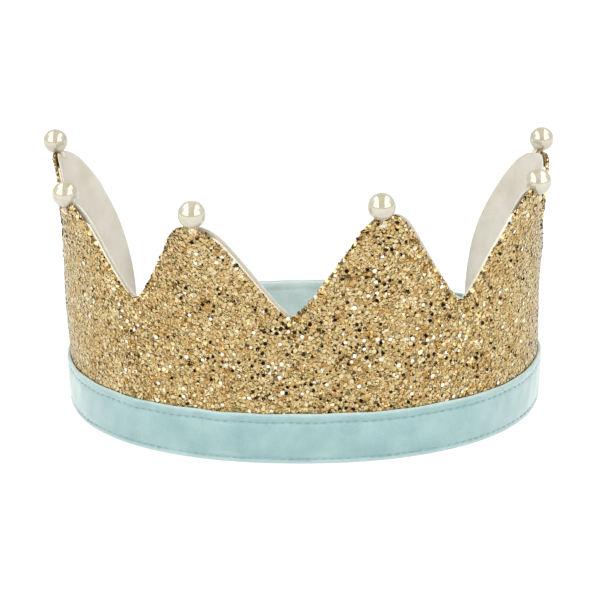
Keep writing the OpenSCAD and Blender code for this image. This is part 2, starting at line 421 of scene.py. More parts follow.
@dataclass(frozen=True)
class FlakeFoil:
    """Aluminised polyester flakes lacquered gold: small flat mirrors in a mix of gold tones."""

    name: str = Foil.GOLD.value
    roughness: float = 0.16
    stops: tuple[tuple[float, str], ...] = (
        (0.0, "#7a5a30"),
        (0.1, "#b08241"),
        (0.22, "#c4a368"),
        (0.46, "#cfba87"),
        (0.74, "#dccb9f"),
        (0.95, "#eee2c4"),
    )

    def make(self) -> bpy.types.Material:
        """Builds the material.

        Returns:
            The material.
        """
        material, tree, shader = new_material(self.name, "#d4ab63")
        tone = add_node(tree, "ShaderNodeAttribute", attribute_name="flake_tone").outputs["Fac"]
        ramp = add_node(tree, "ShaderNodeValToRGB", {"Fac": tone}, self.stops)
        ramp.color_ramp.interpolation = "CONSTANT"
        wire(
            tree,
            shader,
            {"Base Color": ramp.outputs["Color"], "Metallic": 1.0, "Roughness": self.roughness},
        )
        return material


@dataclass(frozen=True)
class TwistedThread:
    """Spun sewing thread: two plies twisted together, with a soft low gloss."""

    name: str
    light: str
    shaded: str
    ply_mm: float = 0.35
    ply_depth_mm: float = 0.06

    def make(self) -> bpy.types.Material:
        """Builds the material.

        Returns:
            The material.
        """
        material, tree, shader = new_material(self.name, self.light)
        place = add_node(tree, "ShaderNodeTexCoord").outputs["Object"]
        twist = add_node(
            tree, "ShaderNodeTexNoise", {"Vector": place, "Scale": per_metre(self.ply_mm), "Detail": 1.0}
        ).outputs["Fac"]
        colour = add_node(
            tree, "ShaderNodeValToRGB", {"Fac": twist}, [(0.35, self.shaded), (0.65, self.light)]
        ).outputs["Color"]
        plies = add_node(
            tree, "ShaderNodeBump", {"Height": twist, "Distance": self.ply_depth_mm * MM}
        ).outputs["Normal"]
        wire(tree, shader, {"Base Color": colour, "Normal": plies, "Roughness": 0.55, "Sheen Weight": 0.2})
        return material


@dataclass(frozen=True)
class PearlLacquer:
    """Imitation pearl: an acrylic ball dipped in pearl lacquer, glossy over a soft warm white."""

    name: str = "pearl_lacquer"
    light: str = "#bdb7a3"
    warm: str = "#b4ab91"
    cloud_mm: float = 3.0
    dip_mm: float = 0.9
    dip_depth_mm: float = 0.006
    # Pearl pigment is stacked flat crystals with an index above 2, which give it its strong mirror
    pigment_ior: float = 2.75

    def make(self) -> bpy.types.Material:
        """Builds the material.

        Returns:
            The material.
        """
        material, tree, shader = new_material(self.name, "#e8e2d0")
        place = add_node(tree, "ShaderNodeTexCoord").outputs["Object"]
        cloud, dips = (
            add_node(tree, "ShaderNodeTexNoise", {"Vector": place, "Scale": per_metre(size)}).outputs["Fac"]
            for size in (self.cloud_mm, self.dip_mm)
        )
        colour = add_node(
            tree, "ShaderNodeValToRGB", {"Fac": cloud}, [(0.35, self.warm), (0.65, self.light)]
        ).outputs["Color"]
        dipped = add_node(
            tree, "ShaderNodeBump", {"Height": dips, "Distance": self.dip_depth_mm * MM}
        ).outputs["Normal"]
        wire(
            tree,
            shader,
            {"Base Color": colour, "Normal": dipped, "Roughness": 0.07, "IOR": self.pigment_ior},
        )
        return material


@dataclass(frozen=True)
class WovenElastic:
    """White woven elastic: rubber cores in cross-ribbed polyester."""

    name: str = "woven_elastic"
    light: str = "#f6f4ee"
    shaded: str = "#d9d5c8"
    rib_mm: float = 1.1
    rib_depth_mm: float = 0.12

    def make(self) -> bpy.types.Material:
        """Builds the material.

        Returns:
            The material.
        """
        material, tree, shader = new_material(self.name, "#f3f1ea")
        cloth = add_node(tree, "ShaderNodeUVMap", uv_map=CLOTH_MAP).outputs["UV"]
        axes = add_node(tree, "ShaderNodeSeparateXYZ", {0: cloth})
        turn = add_node(
            tree,
            "ShaderNodeMath",
            {0: axes.outputs["X"], 1: 2 * math.pi * per_metre(self.rib_mm)},
            operation="MULTIPLY",
        ).outputs[0]
        ribs = add_node(tree, "ShaderNodeMath", {0: turn}, operation="SINE").outputs[0]
        height = add_node(
            tree, "ShaderNodeMapRange", {"Value": ribs, "From Min": -1.0, "From Max": 1.0}
        ).outputs[0]
        colour = add_node(
            tree, "ShaderNodeValToRGB", {"Fac": height}, [(0.0, self.shaded), (1.0, self.light)]
        ).outputs["Color"]
        ribbed = add_node(
            tree, "ShaderNodeBump", {"Height": height, "Distance": self.rib_depth_mm * MM}
        ).outputs["Normal"]
        wire(tree, shader, {"Base Color": colour, "Normal": ribbed, "Roughness": 0.8})
        return material


@dataclass(frozen=True)
class MattPaper:
    """White studio paper under the object, lit from below."""

    name: str = "studio_paper"
    light: str = "#979797"
    shaded: str = "#949494"
    grain_mm: float = 30.0
    # The sheet lies on a light table, which takes away the shadows
    glow: float = 0.78

    def make(self) -> bpy.types.Material:
        """Builds the material.

        Returns:
            The material.
        """
        material, tree, shader = new_material(self.name, "#fafafa")
        place = add_node(tree, "ShaderNodeTexCoord").outputs["Object"]
        grain = add_node(
            tree, "ShaderNodeTexNoise", {"Vector": place, "Scale": per_metre(self.grain_mm)}
        ).outputs["Fac"]
        colour = add_node(
            tree, "ShaderNodeValToRGB", {"Fac": grain}, [(0.3, self.shaded), (0.7, self.light)]
        ).outputs["Color"]
        wire(
            tree,
            shader,
            {
                "Base Color": colour,
                "Roughness": 0.9,
                "Specular IOR Level": 0.1,
                "Emission Color": srgb("#ffffff"),
                "Emission Strength": self.glow,
            },
        )
        return material


@dataclass(frozen=True)
class CardBoard:
    """Matt card that shows only as a dark gap or line in the reflections."""

    name: str = "dark_cardboard"
    dark: str = "#26241f"
    light: str = "#2e2c27"
    grain_mm: float = 8.0

    def make(self) -> bpy.types.Material:
        """Builds the material.

        Returns:
            The material.
        """
        material, tree, shader = new_material(self.name, self.light)
        place = add_node(tree, "ShaderNodeTexCoord").outputs["Object"]
        grain = add_node(
            tree, "ShaderNodeTexNoise", {"Vector": place, "Scale": per_metre(self.grain_mm)}
        ).outputs["Fac"]
        colour = add_node(
            tree, "ShaderNodeValToRGB", {"Fac": grain}, [(0.3, self.dark), (0.7, self.light)]
        ).outputs["Color"]
        wire(tree, shader, {"Base Color": colour, "Roughness": 1.0})
        return material


@dataclass(frozen=True)
class TentCloth:
    """White cloth of the two lit tent walls, which only the beads and flakes mirror."""

    name: str = "tent_cloth"
    fold_mm: float = 160.0
    glow: float = 2.5

    def make(self) -> bpy.types.Material:
        """Builds the material.

        Returns:
            The material.
        """
        material, tree, shader = new_material(self.name, "#ffffff")
        place = add_node(tree, "ShaderNodeTexCoord").outputs["Object"]
        folds = add_node(
            tree, "ShaderNodeTexNoise", {"Vector": place, "Scale": per_metre(self.fold_mm), "Detail": 1.0}
        ).outputs["Fac"]
        light = add_node(
            tree, "ShaderNodeValToRGB", {"Fac": folds}, [(0.3, "#f2f0ea"), (0.7, "#ffffff")]
        ).outputs["Color"]
        wire(
            tree,
            shader,
            {"Base Color": srgb("#101010"), "Emission Color": light, "Emission Strength": self.glow},
        )
        return material


# ---------------------------------------------------------------- meshes


def add_object(name: str, mesh: bpy.types.Mesh, material: bpy.types.Material) -> bpy.types.Object:
    """Links a mesh into the scene.

    Args:
        name: The object's name.
        mesh: Its mesh.
        material: Its only material.

    Returns:
        The object.
    """
    piece = bpy.data.objects.new(name, mesh)
    bpy.context.scene.collection.objects.link(piece)
    mesh.materials.clear()
    mesh.materials.append(material)
    return piece


def loft(
    name: str, rings: np.ndarray, along: np.ndarray, round_it: np.ndarray, closed: bool
) -> bpy.types.Mesh:
    """Skins a row of closed profiles, with a map that follows the cloth.

    Args:
        name: The mesh's name.
        rings: Points in mm, by station, then by place in the profile, then x, y, z.
        along: The map's first coordinate at each station in mm, with one more at the end if closed.
        round_it: The map's second coordinate round the profile in mm, with one more at the end.
        closed: Whether the last station joins the first. If not, the ends are capped.

    Returns:
        The mesh, in metres, with its faces pointing out.
    """
    stations, corners = rings.shape[:2]
    spans = stations if closed else stations - 1
    i = np.repeat(np.arange(spans), corners)
    j = np.tile(np.arange(corners), spans)
    nexts, right = (i + 1) % stations, (j + 1) % corners
    quads = np.stack(
        [i * corners + j, nexts * corners + j, nexts * corners + right, i * corners + right], 1
    )
    faces = quads.tolist()
    if not closed:
        faces += [list(range(corners)), [(stations - 1) * corners + k for k in reversed(range(corners))]]
    mesh = bpy.data.meshes.new(name)
    mesh.from_pydata((rings.reshape(-1, 3) * MM).tolist(), [], faces)
    layer = mesh.uv_layers.new(name=CLOTH_MAP)
    spots = np.zeros((len(mesh.loops), 2))
    steps = np.stack([i, i + 1, i + 1, i], 1).ravel()
    turns = np.stack([j, j, j + 1, j + 1], 1).ravel()
    spots[: len(steps), 0] = along[steps] * MM
    spots[: len(steps), 1] = round_it[turns] * MM
    layer.data.foreach_set("uv", spots.ravel())
    mesh.polygons.foreach_set("use_smooth", [True] * len(mesh.polygons))
    face_out(mesh)
    return mesh


def face_out(mesh: bpy.types.Mesh) -> None:
    """Points a closed mesh's faces outwards.

    Args:
        mesh: The mesh.
    """
    work = bmesh.new()
    work.from_mesh(mesh)
    bmesh.ops.recalc_face_normals(work, faces=work.faces)
    work.to_mesh(mesh)
    work.free()


def tube(name: str, path: np.ndarray, radius: float, sides: int = 8) -> bpy.types.Mesh:
    """Sweeps a round thread along a path and rounds off its ends.

    Args:
        name: The mesh's name.
        path: Points in mm.
        radius: The thread's radius in mm.
        sides: Corners round the thread.

    Returns:
        The mesh, in metres.
    """
    tangents = np.gradient(path, axis=0)
    tangents /= np.linalg.norm(tangents, axis=1)[:, None]
    aside = np.cross(tangents, THREAD_SIDE)
    aside /= np.linalg.norm(aside, axis=1)[:, None]
    across = np.cross(tangents, aside)
    radii = np.full(len(path), radius)
    radii[[0, -1]] *= THREAD_END
    turns = np.arange(sides) * 2 * math.pi / sides
    rings = (
        path[:, None]
        + radii[:, None, None]
        * (np.cos(turns)[None, :, None] * aside[:, None] + np.sin(turns)[None, :, None] * across[:, None])
    )
    lengths = np.r_[0, np.cumsum(np.linalg.norm(np.diff(path, axis=0), axis=1))]
    return loft(name, rings, lengths, np.arange(sides + 1) * radius, closed=False)


def joined(name: str, meshes: list[bpy.types.Mesh], material: bpy.types.Material) -> bpy.types.Object:
    """Joins meshes into one piece.

    Args:
        name: The piece's name.
        meshes: The meshes, which are used up.
        material: The piece's material.

    Returns:
        The piece.
    """
    work = bmesh.new()
    for mesh in meshes:
        work.from_mesh(mesh)
        bpy.data.meshes.remove(mesh)
    whole = bpy.data.meshes.new(name)
    work.to_mesh(whole)
    work.free()
    return add_object(name, whole, material)


def grown(name: str, source: bpy.types.Object, tree: bpy.types.NodeTree, sizes: dict) -> bpy.types.Object:
    """Runs a geometry tree on an object and keeps the result as a plain piece.

    Args:
        name: The new piece's name.
        source: The object that the tree starts from.
        tree: The geometry tree.
        sizes: The tree's input name to its value.

    Returns:
        The new piece.
    """
    modifier = source.modifiers.new(name, "NODES")
    modifier.node_group = tree
    for item in tree.interface.items_tree:
        if item.item_type == "SOCKET" and item.in_out == "INPUT" and item.name in sizes:
            modifier[item.identifier] = sizes[item.name]
    source.update_tag()
    bpy.context.view_layer.update()
    ready = source.evaluated_get(bpy.context.evaluated_depsgraph_get())
    mesh = bpy.data.meshes.new_from_object(ready)
    mesh.name = name
    source.modifiers.remove(modifier)
    piece = bpy.data.objects.new(name, mesh)
    bpy.context.scene.collection.objects.link(piece)
    return piece


def finish_piece(piece: bpy.types.Object, slot: str, *nodes: str) -> bpy.types.Object:
    """Rides a piece on the body, hides the CAD nodes it stands for, and reports it.

    Args:
        piece: The piece.
        slot: Not used.
        *nodes: The CAD nodes that it stands for.

    Returns:
        The piece.
    """
    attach(piece, BODY)
    if nodes:
        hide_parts(*nodes)
    LOG.info("%s: %d faces", piece.name, len(piece.data.polygons))
    return piece


# ---------------------------------------------------------------- geometry trees


@dataclass(frozen=True)
class GeometryTree:
    """A geometry tree with named inputs, whose result ends in real meshes with a material."""

    name: str
    inputs: tuple[tuple[str, str], ...]

    def start(self) -> tuple[bpy.types.NodeTree, bpy.types.Node]:
        """Makes the tree with its inputs.

        Returns:
            The tree and its input node.
        """
        tree = bpy.data.node_groups.new(self.name, "GeometryNodeTree")
        tree.interface.new_socket("Geometry", in_out="INPUT", socket_type="NodeSocketGeometry")
        for name, kind in self.inputs:
            tree.interface.new_socket(name, in_out="INPUT", socket_type=f"NodeSocket{kind}")
        tree.interface.new_socket("Geometry", in_out="OUTPUT", socket_type="NodeSocketGeometry")
        return tree, tree.nodes.new("NodeGroupInput")

    @staticmethod
    def end(tree: bpy.types.NodeTree, shapes: bpy.types.NodeSocket, material: bpy.types.Material) -> None:
        """Makes the instances real, gives them their material and ends the tree.

        Args:
            tree: The tree.
            shapes: The instances' socket.
            material: Their material.
        """
        real = add_node(tree, "GeometryNodeRealizeInstances", {0: shapes}).outputs[0]
        dressed = add_node(tree, "GeometryNodeSetMaterial", {0: real, "Material": material}).outputs[0]
        add_node(tree, "NodeGroupOutput", {0: dressed})


def flake_tree(material: bpy.types.Material) -> bpy.types.NodeTree:
    """Builds the tree that scatters flat flakes over a cloth, as thickly as an attribute of it says.

    Args:
        material: The flakes' material.

    Returns:
        The tree.
    """
    tree, given = GeometryTree(
        f"scatter_{material.name}",
        (
            ("Cover", "String"),
            ("Corners", "Int"),
            ("Radius", "Float"),
            ("Spacing", "Float"),
            ("Density", "Float"),
            ("Tilt", "Float"),
            ("Lift", "Float"),
            ("Seed", "Int"),
        ),
    ).start()
    get = given.outputs
    cover = add_node(tree, "GeometryNodeInputNamedAttribute", {"Name": get["Cover"]}, data_type="FLOAT")
    calm = add_node(tree, "GeometryNodeInputNamedAttribute", {"Name": "calm"}, data_type="FLOAT").outputs[0]
    spread = add_node(
        tree,
        "GeometryNodeDistributePointsOnFaces",
        {
            "Mesh": get["Geometry"],
            "Distance Min": get["Spacing"],
            "Density Max": get["Density"],
            "Density Factor": cover.outputs["Attribute"],
            "Seed": get["Seed"],
        },
        distribute_method="POISSON",
    )
    flake = add_node(
        tree,
        "GeometryNodeMeshCircle",
        {"Vertices": get["Corners"], "Radius": get["Radius"]},
        fill_type="NGON",
    )
    # Two even spreads added together: most flakes lie nearly flat, and a few stand up
    tilt = get["Tilt"]
    back = add_node(tree, "ShaderNodeMath", {0: tilt, 1: -1.0}, operation="MULTIPLY").outputs[0]
    low = add_node(tree, "ShaderNodeCombineXYZ", {"X": back, "Y": back, "Z": -math.pi}).outputs[0]
    high = add_node(tree, "ShaderNodeCombineXYZ", {"X": tilt, "Y": tilt, "Z": math.pi}).outputs[0]
    turns = [
        add_node(
            tree,
            "FunctionNodeRandomValue",
            {"Min": low, "Max": high, "Seed": seed},
            data_type="FLOAT_VECTOR",
        ).outputs["Value"]
        for seed in (11, 12)
    ]
    both = add_node(tree, "ShaderNodeVectorMath", {0: turns[0], 1: turns[1]}, operation="ADD").outputs[0]
    # Where the cloth is calm, flakes lie flatter and lower, and their tones come in soft patches
    flatter = add_node(tree, "ShaderNodeMapRange", {"Value": calm, "To Min": 1.0, "To Max": 0.3}).outputs[0]
    eased = add_node(tree, "ShaderNodeVectorMath", {0: both, "Scale": flatter}, operation="SCALE").outputs[0]
    turn = add_node(tree, "FunctionNodeEulerToRotation", {0: eased}).outputs[0]
    facing = add_node(
        tree,
        "FunctionNodeRotateRotation",
        {"Rotation": spread.outputs["Rotation"], "Rotate By": turn},
        rotation_space="LOCAL",
    ).outputs[0]
    size = add_node(tree, "FunctionNodeRandomValue", {2: 0.62, 3: 1.0, "Seed": 13}, data_type="FLOAT")
    placed = add_node(
        tree,
        "GeometryNodeInstanceOnPoints",
        {
            "Points": spread.outputs["Points"],
            "Instance": flake.outputs["Mesh"],
            "Rotation": facing,
            "Scale": size.outputs[1],
        },
    ).outputs[0]
    lower = add_node(tree, "ShaderNodeMath", {0: get["Lift"], 1: flatter}, operation="MULTIPLY").outputs[0]
    lift = add_node(tree, "FunctionNodeRandomValue", {2: 0.0, 3: lower, "Seed": 14}, data_type="FLOAT")
    up = add_node(tree, "ShaderNodeCombineXYZ", {"Z": lift.outputs[1]}).outputs[0]
    lifted = add_node(
        tree, "GeometryNodeTranslateInstances", {"Instances": placed, "Translation": up, "Local Space": True}
    ).outputs[0]
    darkest = add_node(tree, "ShaderNodeMath", {0: calm, 1: CALM_DARKEST}, operation="MULTIPLY").outputs[0]
    own = add_node(
        tree, "FunctionNodeRandomValue", {2: darkest, 3: 1.0, "Seed": 15}, data_type="FLOAT"
    ).outputs[1]
    cloud = add_node(
        tree, "ShaderNodeTexNoise", {"Scale": per_metre(TONE_PATCH_MM), "Detail": 1.0}
    ).outputs["Fac"]
    patch = add_node(
        tree, "ShaderNodeMapRange", {"Value": cloud, "From Min": 0.26, "From Max": 0.66}
    ).outputs[0]
    share = add_node(tree, "ShaderNodeMapRange", {"Value": calm, "To Min": 0.26, "To Max": 0.42}).outputs[0]
    tone = add_node(tree, "ShaderNodeMix", {0: share, 2: own, 3: patch}, data_type="FLOAT").outputs[0]
    toned = add_node(
        tree,
        "GeometryNodeStoreNamedAttribute",
        {"Geometry": lifted, "Name": "flake_tone", "Value": tone},
        data_type="FLOAT",
        domain="INSTANCE",
    ).outputs[0]
    GeometryTree.end(tree, toned, material)
    return tree


def stitch_tree(material: bpy.types.Material) -> bpy.types.NodeTree:
    """Builds the tree that lays a row of plump stitches along a line.

    Args:
        material: The thread's material.

    Returns:
        The tree.
    """
    tree, given = GeometryTree(
        f"stitches_{material.name}",
        (("Pitch", "Float"), ("Length", "Float"), ("Thickness", "Float"), ("Seed", "Int")),
    ).start()
    get = given.outputs
    line = add_node(tree, "GeometryNodeMeshToCurve", {0: get["Geometry"]}).outputs[0]
    places = add_node(
        tree, "GeometryNodeResampleCurve", {"Curve": line, "Length": get["Pitch"]}, mode="LENGTH"
    ).outputs[0]
    along = add_node(tree, "GeometryNodeInputTangent").outputs[0]
    facing = add_node(tree, "FunctionNodeAlignRotationToVector", {"Vector": along}, axis="X").outputs[0]
    wobble = add_node(
        tree,
        "FunctionNodeRandomValue",
        {"Min": (0.0, -0.05, -0.05), "Max": (0.0, 0.05, 0.05), "Seed": get["Seed"]},
        data_type="FLOAT_VECTOR",
    ).outputs["Value"]
    skew = add_node(tree, "FunctionNodeEulerToRotation", {0: wobble}).outputs[0]
    turned = add_node(
        tree,
        "FunctionNodeRotateRotation",
        {"Rotation": facing, "Rotate By": skew},
        rotation_space="LOCAL",
    ).outputs[0]
    ball = add_node(tree, "GeometryNodeMeshUVSphere", {"Segments": 8, "Rings": 6, "Radius": 0.5})
    size = add_node(
        tree, "ShaderNodeCombineXYZ", {"X": get["Length"], "Y": get["Thickness"], "Z": get["Thickness"]}
    ).outputs[0]
    placed = add_node(
        tree,
        "GeometryNodeInstanceOnPoints",
        {"Points": places, "Instance": ball.outputs["Mesh"], "Rotation": turned, "Scale": size},
    ).outputs[0]
    GeometryTree.end(tree, placed, material)
    return tree


# ---------------------------------------------------------------- the crown's outline


@dataclass
class BandPlan:
    """The band's outer face in plan, and the distances along it."""

    squareness: float = 2.17
    steps: int = 2880
    half_width: float = field(init=False)
    half_depth: float = field(init=False)
    points: np.ndarray = field(init=False)
    lengths: np.ndarray = field(init=False)

    def __post_init__(self) -> None:
        """Measures the outer strip and lays out the curve."""
        low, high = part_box("velvet_outer_strip")
        self.half_width = (high.x - low.x) / 2 / MM
        self.half_depth = (high.y - low.y) / 2 / MM
        angle = np.linspace(0, 2 * math.pi, self.steps + 1)
        power = 2 / self.squareness
        self.points = np.stack(
            [
                self.half_width * np.sign(np.sin(angle)) * np.abs(np.sin(angle)) ** power,
                -self.half_depth * np.sign(np.cos(angle)) * np.abs(np.cos(angle)) ** power,
            ],
            1,
        )
        self.lengths = np.r_[0, np.cumsum(np.linalg.norm(np.diff(self.points, axis=0), axis=1))]

    @property
    def length(self) -> float:
        """Gives the distance once round the band."""
        return float(self.lengths[-1])

    def spot(self, place: np.ndarray) -> np.ndarray:
        """Gives points on the curve.

        Args:
            place: Distances along the curve.

        Returns:
            Points with x and y in mm.
        """
        wrapped = np.mod(place, self.length)
        return np.stack([np.interp(wrapped, self.lengths, self.points[:, k]) for k in (0, 1)], -1)

    def outward(self, place: np.ndarray) -> np.ndarray:
        """Gives the directions that point straight out of the band.

        Args:
            place: Distances along the curve.

        Returns:
            Unit vectors with x and y.
        """
        spot = self.spot(place)
        half = np.array([self.half_width, self.half_depth])
        slope = np.sign(spot) * np.abs(spot / half) ** (self.squareness - 1) / half
        return slope / np.linalg.norm(slope, axis=-1, keepdims=True)

    def beside(self, place: np.ndarray, out: np.ndarray, height: np.ndarray) -> np.ndarray:
        """Gives points beside the curve.

        Args:
            place: Distances along the curve.
            out: Distances outwards from it.
            height: Heights.

        Returns:
            Points with x, y and z in mm.
        """
        flat = self.spot(place) + np.asarray(out)[..., None] * self.outward(place)
        return np.concatenate([flat, np.asarray(height)[..., None]], -1)


def smooth_min(a: np.ndarray, b: np.ndarray, blend: float) -> np.ndarray:
    """Gives the lower of two heights, rounded over the blend where they cross."""
    return np.minimum(a, b) - np.maximum(blend - np.abs(a - b), 0) ** 2 / (4 * blend)


def smooth_max(a: np.ndarray, b: np.ndarray, blend: float) -> np.ndarray:
    """Gives the higher of two heights, rounded over the blend where they cross."""
    return np.maximum(a, b) + np.maximum(blend - np.abs(a - b), 0) ** 2 / (4 * blend)


@dataclass
class WallShape:
    """The pointed wall's shape: its top edge, and how far it stands out at every height.

    The points are cut and sewn by hand, so each is shifted, raised and leant out by its own amount.
    The lists run from the left rear point round the front to the right rear one.
    """

    plan: BandPlan
    pitch: float = 58.0
    point_height: float = 88.0
    dip_height: float = 52.5
    rear_reach: float = 31.5
    tip_reach: float = 6.3
    slope_sag: float = 2.0
    tip_blend: float = 7.2
    dip_blend: float = 5.5
    dip_floor: float = 1.2
    # The rear edge falls from this far above the point, over a curve with these two powers
    rear_rise: float = 4.0
    rear_powers: tuple[float, float] = (1.38, 0.515)
    band_height: float = 18.5
    bead_height: float = 91.3
    bead_radius: float = 4.45
    bead_gap: float = 0.12
    felt_middle: float = -2.56
    bottom: float = 1.2
    lean_foot: float = 58.0
    lean_blend: float = 0.45
    # How high above the band the ripples reach their full depth, then each one's depth, its millimetres
    # for a radian along the band and up it, and where it starts
    ripple_fade: float = 25.0
    ripples: tuple[tuple[float, ...], ...] = (
        (0.28, 7.9, 21.0, 0.6),
        (0.22, 4.7, -13.0, 2.1),
        (0.12, 2.9, 8.0, 4.0),
    )
    # The height at which a crease crosses its place, then each one's depth, place, slant and width
    crease_height: float = 60.0
    creases: tuple[tuple[float, ...], ...] = ((0.95, -157.0, 7.0, 3.2), (0.8, 155.0, 5.0, 3.4))
    point_shift: tuple[float, ...] = (3.7, 1.8, -3.2, 0.3, -1.6, 2.7)
    point_rise: tuple[float, ...] = (0.2, -3.0, -1.9, 0.1, 0.6, -3.4)
    point_lean: tuple[float, ...] = (5.6, 3.0, 8.7, 1.5, 2.6, 7.0)
    bead_shift: tuple[float, ...] = (-0.2, -1.1, 1.3, -2.0, 4.1, 2.0)
    dip_shift: tuple[float, ...] = (0.3, -0.3, -1.9, -0.3, 0.8)
    dip_rise: tuple[float, ...] = (1.0, 0.5, -1.8, -0.5, 0.9)
    dip_lean: tuple[float, ...] = (-4.9, -1.9, 0.8, 0.0, -0.4)
    pearls: tuple[str, ...] = (
        "pearl_back_left",
        "pearl_side_left",
        "pearl_front_left",
        "pearl_front_right",
        "pearl_side_right",
        "pearl_back_right",
    )
    places: np.ndarray = field(init=False)
    dips: np.ndarray = field(init=False)
    bead_places: np.ndarray = field(init=False)
    beads: np.ndarray = field(init=False)

    def __post_init__(self) -> None:
        """Lays out the points and dips, and reads each bead's centre."""
        count = len(self.pearls)
        self.places = (np.arange(count) - (count - 1) / 2) * self.pitch + self.point_shift
        self.dips = (np.arange(count - 1) - (count - 2) / 2) * self.pitch + self.dip_shift
        self.bead_places = self.places + self.bead_shift
        boxes = [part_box(name) for name in self.pearls]
        self.beads = np.array(
            [[(low.x + high.x) / 2, (low.y + high.y) / 2, high.z] for low, high in boxes]
        ) / MM - [0, 0, self.bead_radius]

    @property
    def ends(self) -> tuple[float, float]:
        """Gives the places of the wall's left and right rear edges."""
        return float(self.places[0] - self.rear_reach), float(self.places[-1] + self.rear_reach)

    def point_at(self, place: np.ndarray) -> np.ndarray:
        """Gives the number of the point that each place belongs to."""
        return np.searchsorted(self.dips, place)

    def is_rear(self, place: np.ndarray) -> np.ndarray:
        """Tells which places are behind the rear points."""
        return (place < self.places[0]) | (place > self.places[-1])

    def edge(self, place: np.ndarray) -> np.ndarray:
        """Gives the height of the cloths' common top edge.

        Args:
            place: Distances along the band.

        Returns:
            Heights.
        """
        point = self.point_at(place)
        away = place - self.places[point]
        dip = np.clip(np.where(away > 0, point, point - 1), 0, len(self.dips) - 1)
        tip = self.point_height + np.array(self.point_rise)[point]
        low = self.dip_height + np.array(self.dip_rise)[dip]
        span = np.abs(self.dips[dip] - self.places[point])
        share = np.clip(np.abs(away) / span, 0, 1)
        line = low + (tip - low) * (1 - share) / (1 - self.tip_reach / span)
        line = line - self.slope_sag * np.sin(math.pi * share)
        slope = smooth_max(smooth_min(line, tip, self.tip_blend), low + self.dip_floor, self.dip_blend)
        along, upwards = self.rear_powers
        fall = (1 - np.clip(np.abs(away) / self.rear_reach, 0, 1) ** along) ** upwards
        rear = self.band_height + (tip + self.rear_rise - self.band_height) * fall
        return np.where(self.is_rear(place), smooth_min(rear, tip, self.tip_blend), slope)

    def under_bead(self, place: np.ndarray, edge: np.ndarray) -> np.ndarray:
        """Keeps an edge between the band's top and the bead.

        Args:
            place: Distances along the band.
            edge: The edge's heights.

        Returns:
            The heights that are left.
        """
        point = self.point_at(place)
        away = np.minimum(np.abs(place - self.bead_places[point]), self.bead_radius)
        under = self.beads[point, 2] - np.sqrt(self.bead_radius**2 - away**2) - self.bead_gap
        return np.maximum(self.band_height, np.minimum(edge, under))

    def lean(self, place: np.ndarray) -> np.ndarray:
        """Gives how far the wall stands out at the beads' height.

        Args:
            place: Distances along the band.

        Returns:
            Distances outwards, eased from each point to the next dip.
        """
        count = len(self.places) + len(self.dips)
        spots, leans = np.empty(count), np.empty(count)
        spots[::2], spots[1::2] = self.places, self.dips
        leans[::2], leans[1::2] = self.point_lean, self.dip_lean
        inside = np.clip(place, spots[0], spots[-1])
        first = np.clip(np.searchsorted(spots, inside, side="right") - 1, 0, count - 2)
        share = (inside - spots[first]) / (spots[first + 1] - spots[first])
        return leans[first] + (leans[first + 1] - leans[first]) * (1 - np.cos(math.pi * share)) / 2

    def middle(self, place: np.ndarray, height: np.ndarray) -> np.ndarray:
        """Gives how far the wall's middle stands outside the band's outer face.

        Args:
            place: Distances along the band.
            height: Heights.

        Returns:
            Distances outwards.
        """
        rise = (height - self.lean_foot) / (self.bead_height - self.lean_foot)
        bend = smooth_max(rise, np.zeros_like(rise), self.lean_blend)
        return self.felt_middle + (self.lean(place) - self.felt_middle) * bend + self.wave(place, height)

    def wave(self, place: np.ndarray, height: np.ndarray) -> np.ndarray:
        """Gives the soft in-and-out of handled cloth, with a crease down each rear point.

        Args:
            place: Distances along the band.
            height: Heights.

        Returns:
            Distances outwards.
        """
        free = np.clip((height - self.band_height) / self.ripple_fade, 0, 1)
        swing = np.zeros_like(height)
        for depth, along, up, start in self.ripples:
            swing = swing + depth * np.sin(place / along + height / up + start)
        for depth, middle, slant, width in self.creases:
            across = place - middle + (height - self.crease_height) / slant
            swing = swing - depth * np.exp(-((across / width) ** 2))
        return free * swing

    def bead_frame(self, number: int) -> Matrix:
        """Gives the frame at a bead's centre: X along the band, -Y out and Z up the wall.

        Args:
            number: The bead's number, from the left rear one.

        Returns:
            The frame, in metres.
        """
        # The heading is taken over 1 mm of the wall, from the bead's place on
        place = self.bead_places[number] + np.array([0.0, 1.0])
        height = np.full(2, self.beads[number, 2])
        out = self.middle(place, height) - self.wave(place, height)
        here, ahead = self.plan.beside(place, out, height)
        tilt = math.atan((self.lean(place)[0] - self.felt_middle) / (self.bead_height - self.lean_foot))
        heading = math.atan2(ahead[1] - here[1], ahead[0] - here[0])
        centre = Vector(self.beads[number]) * MM
        return Matrix.Translation(centre) @ Matrix.Rotation(heading, 4, "Z") @ Matrix.Rotation(tilt, 4, "X")


# ---------------------------------------------------------------- the wall


@dataclass(frozen=True)
class FlakeGrade:
    """One grade of flakes: their cut, how closely and flatly they lie, and which part they cover."""

    name: str
    corners: int
    radius: float
    spacing: float
    tilt: float
    lift: float
    seed: int
    cover: str = "all_over"
    foil: Foil = Foil.GOLD


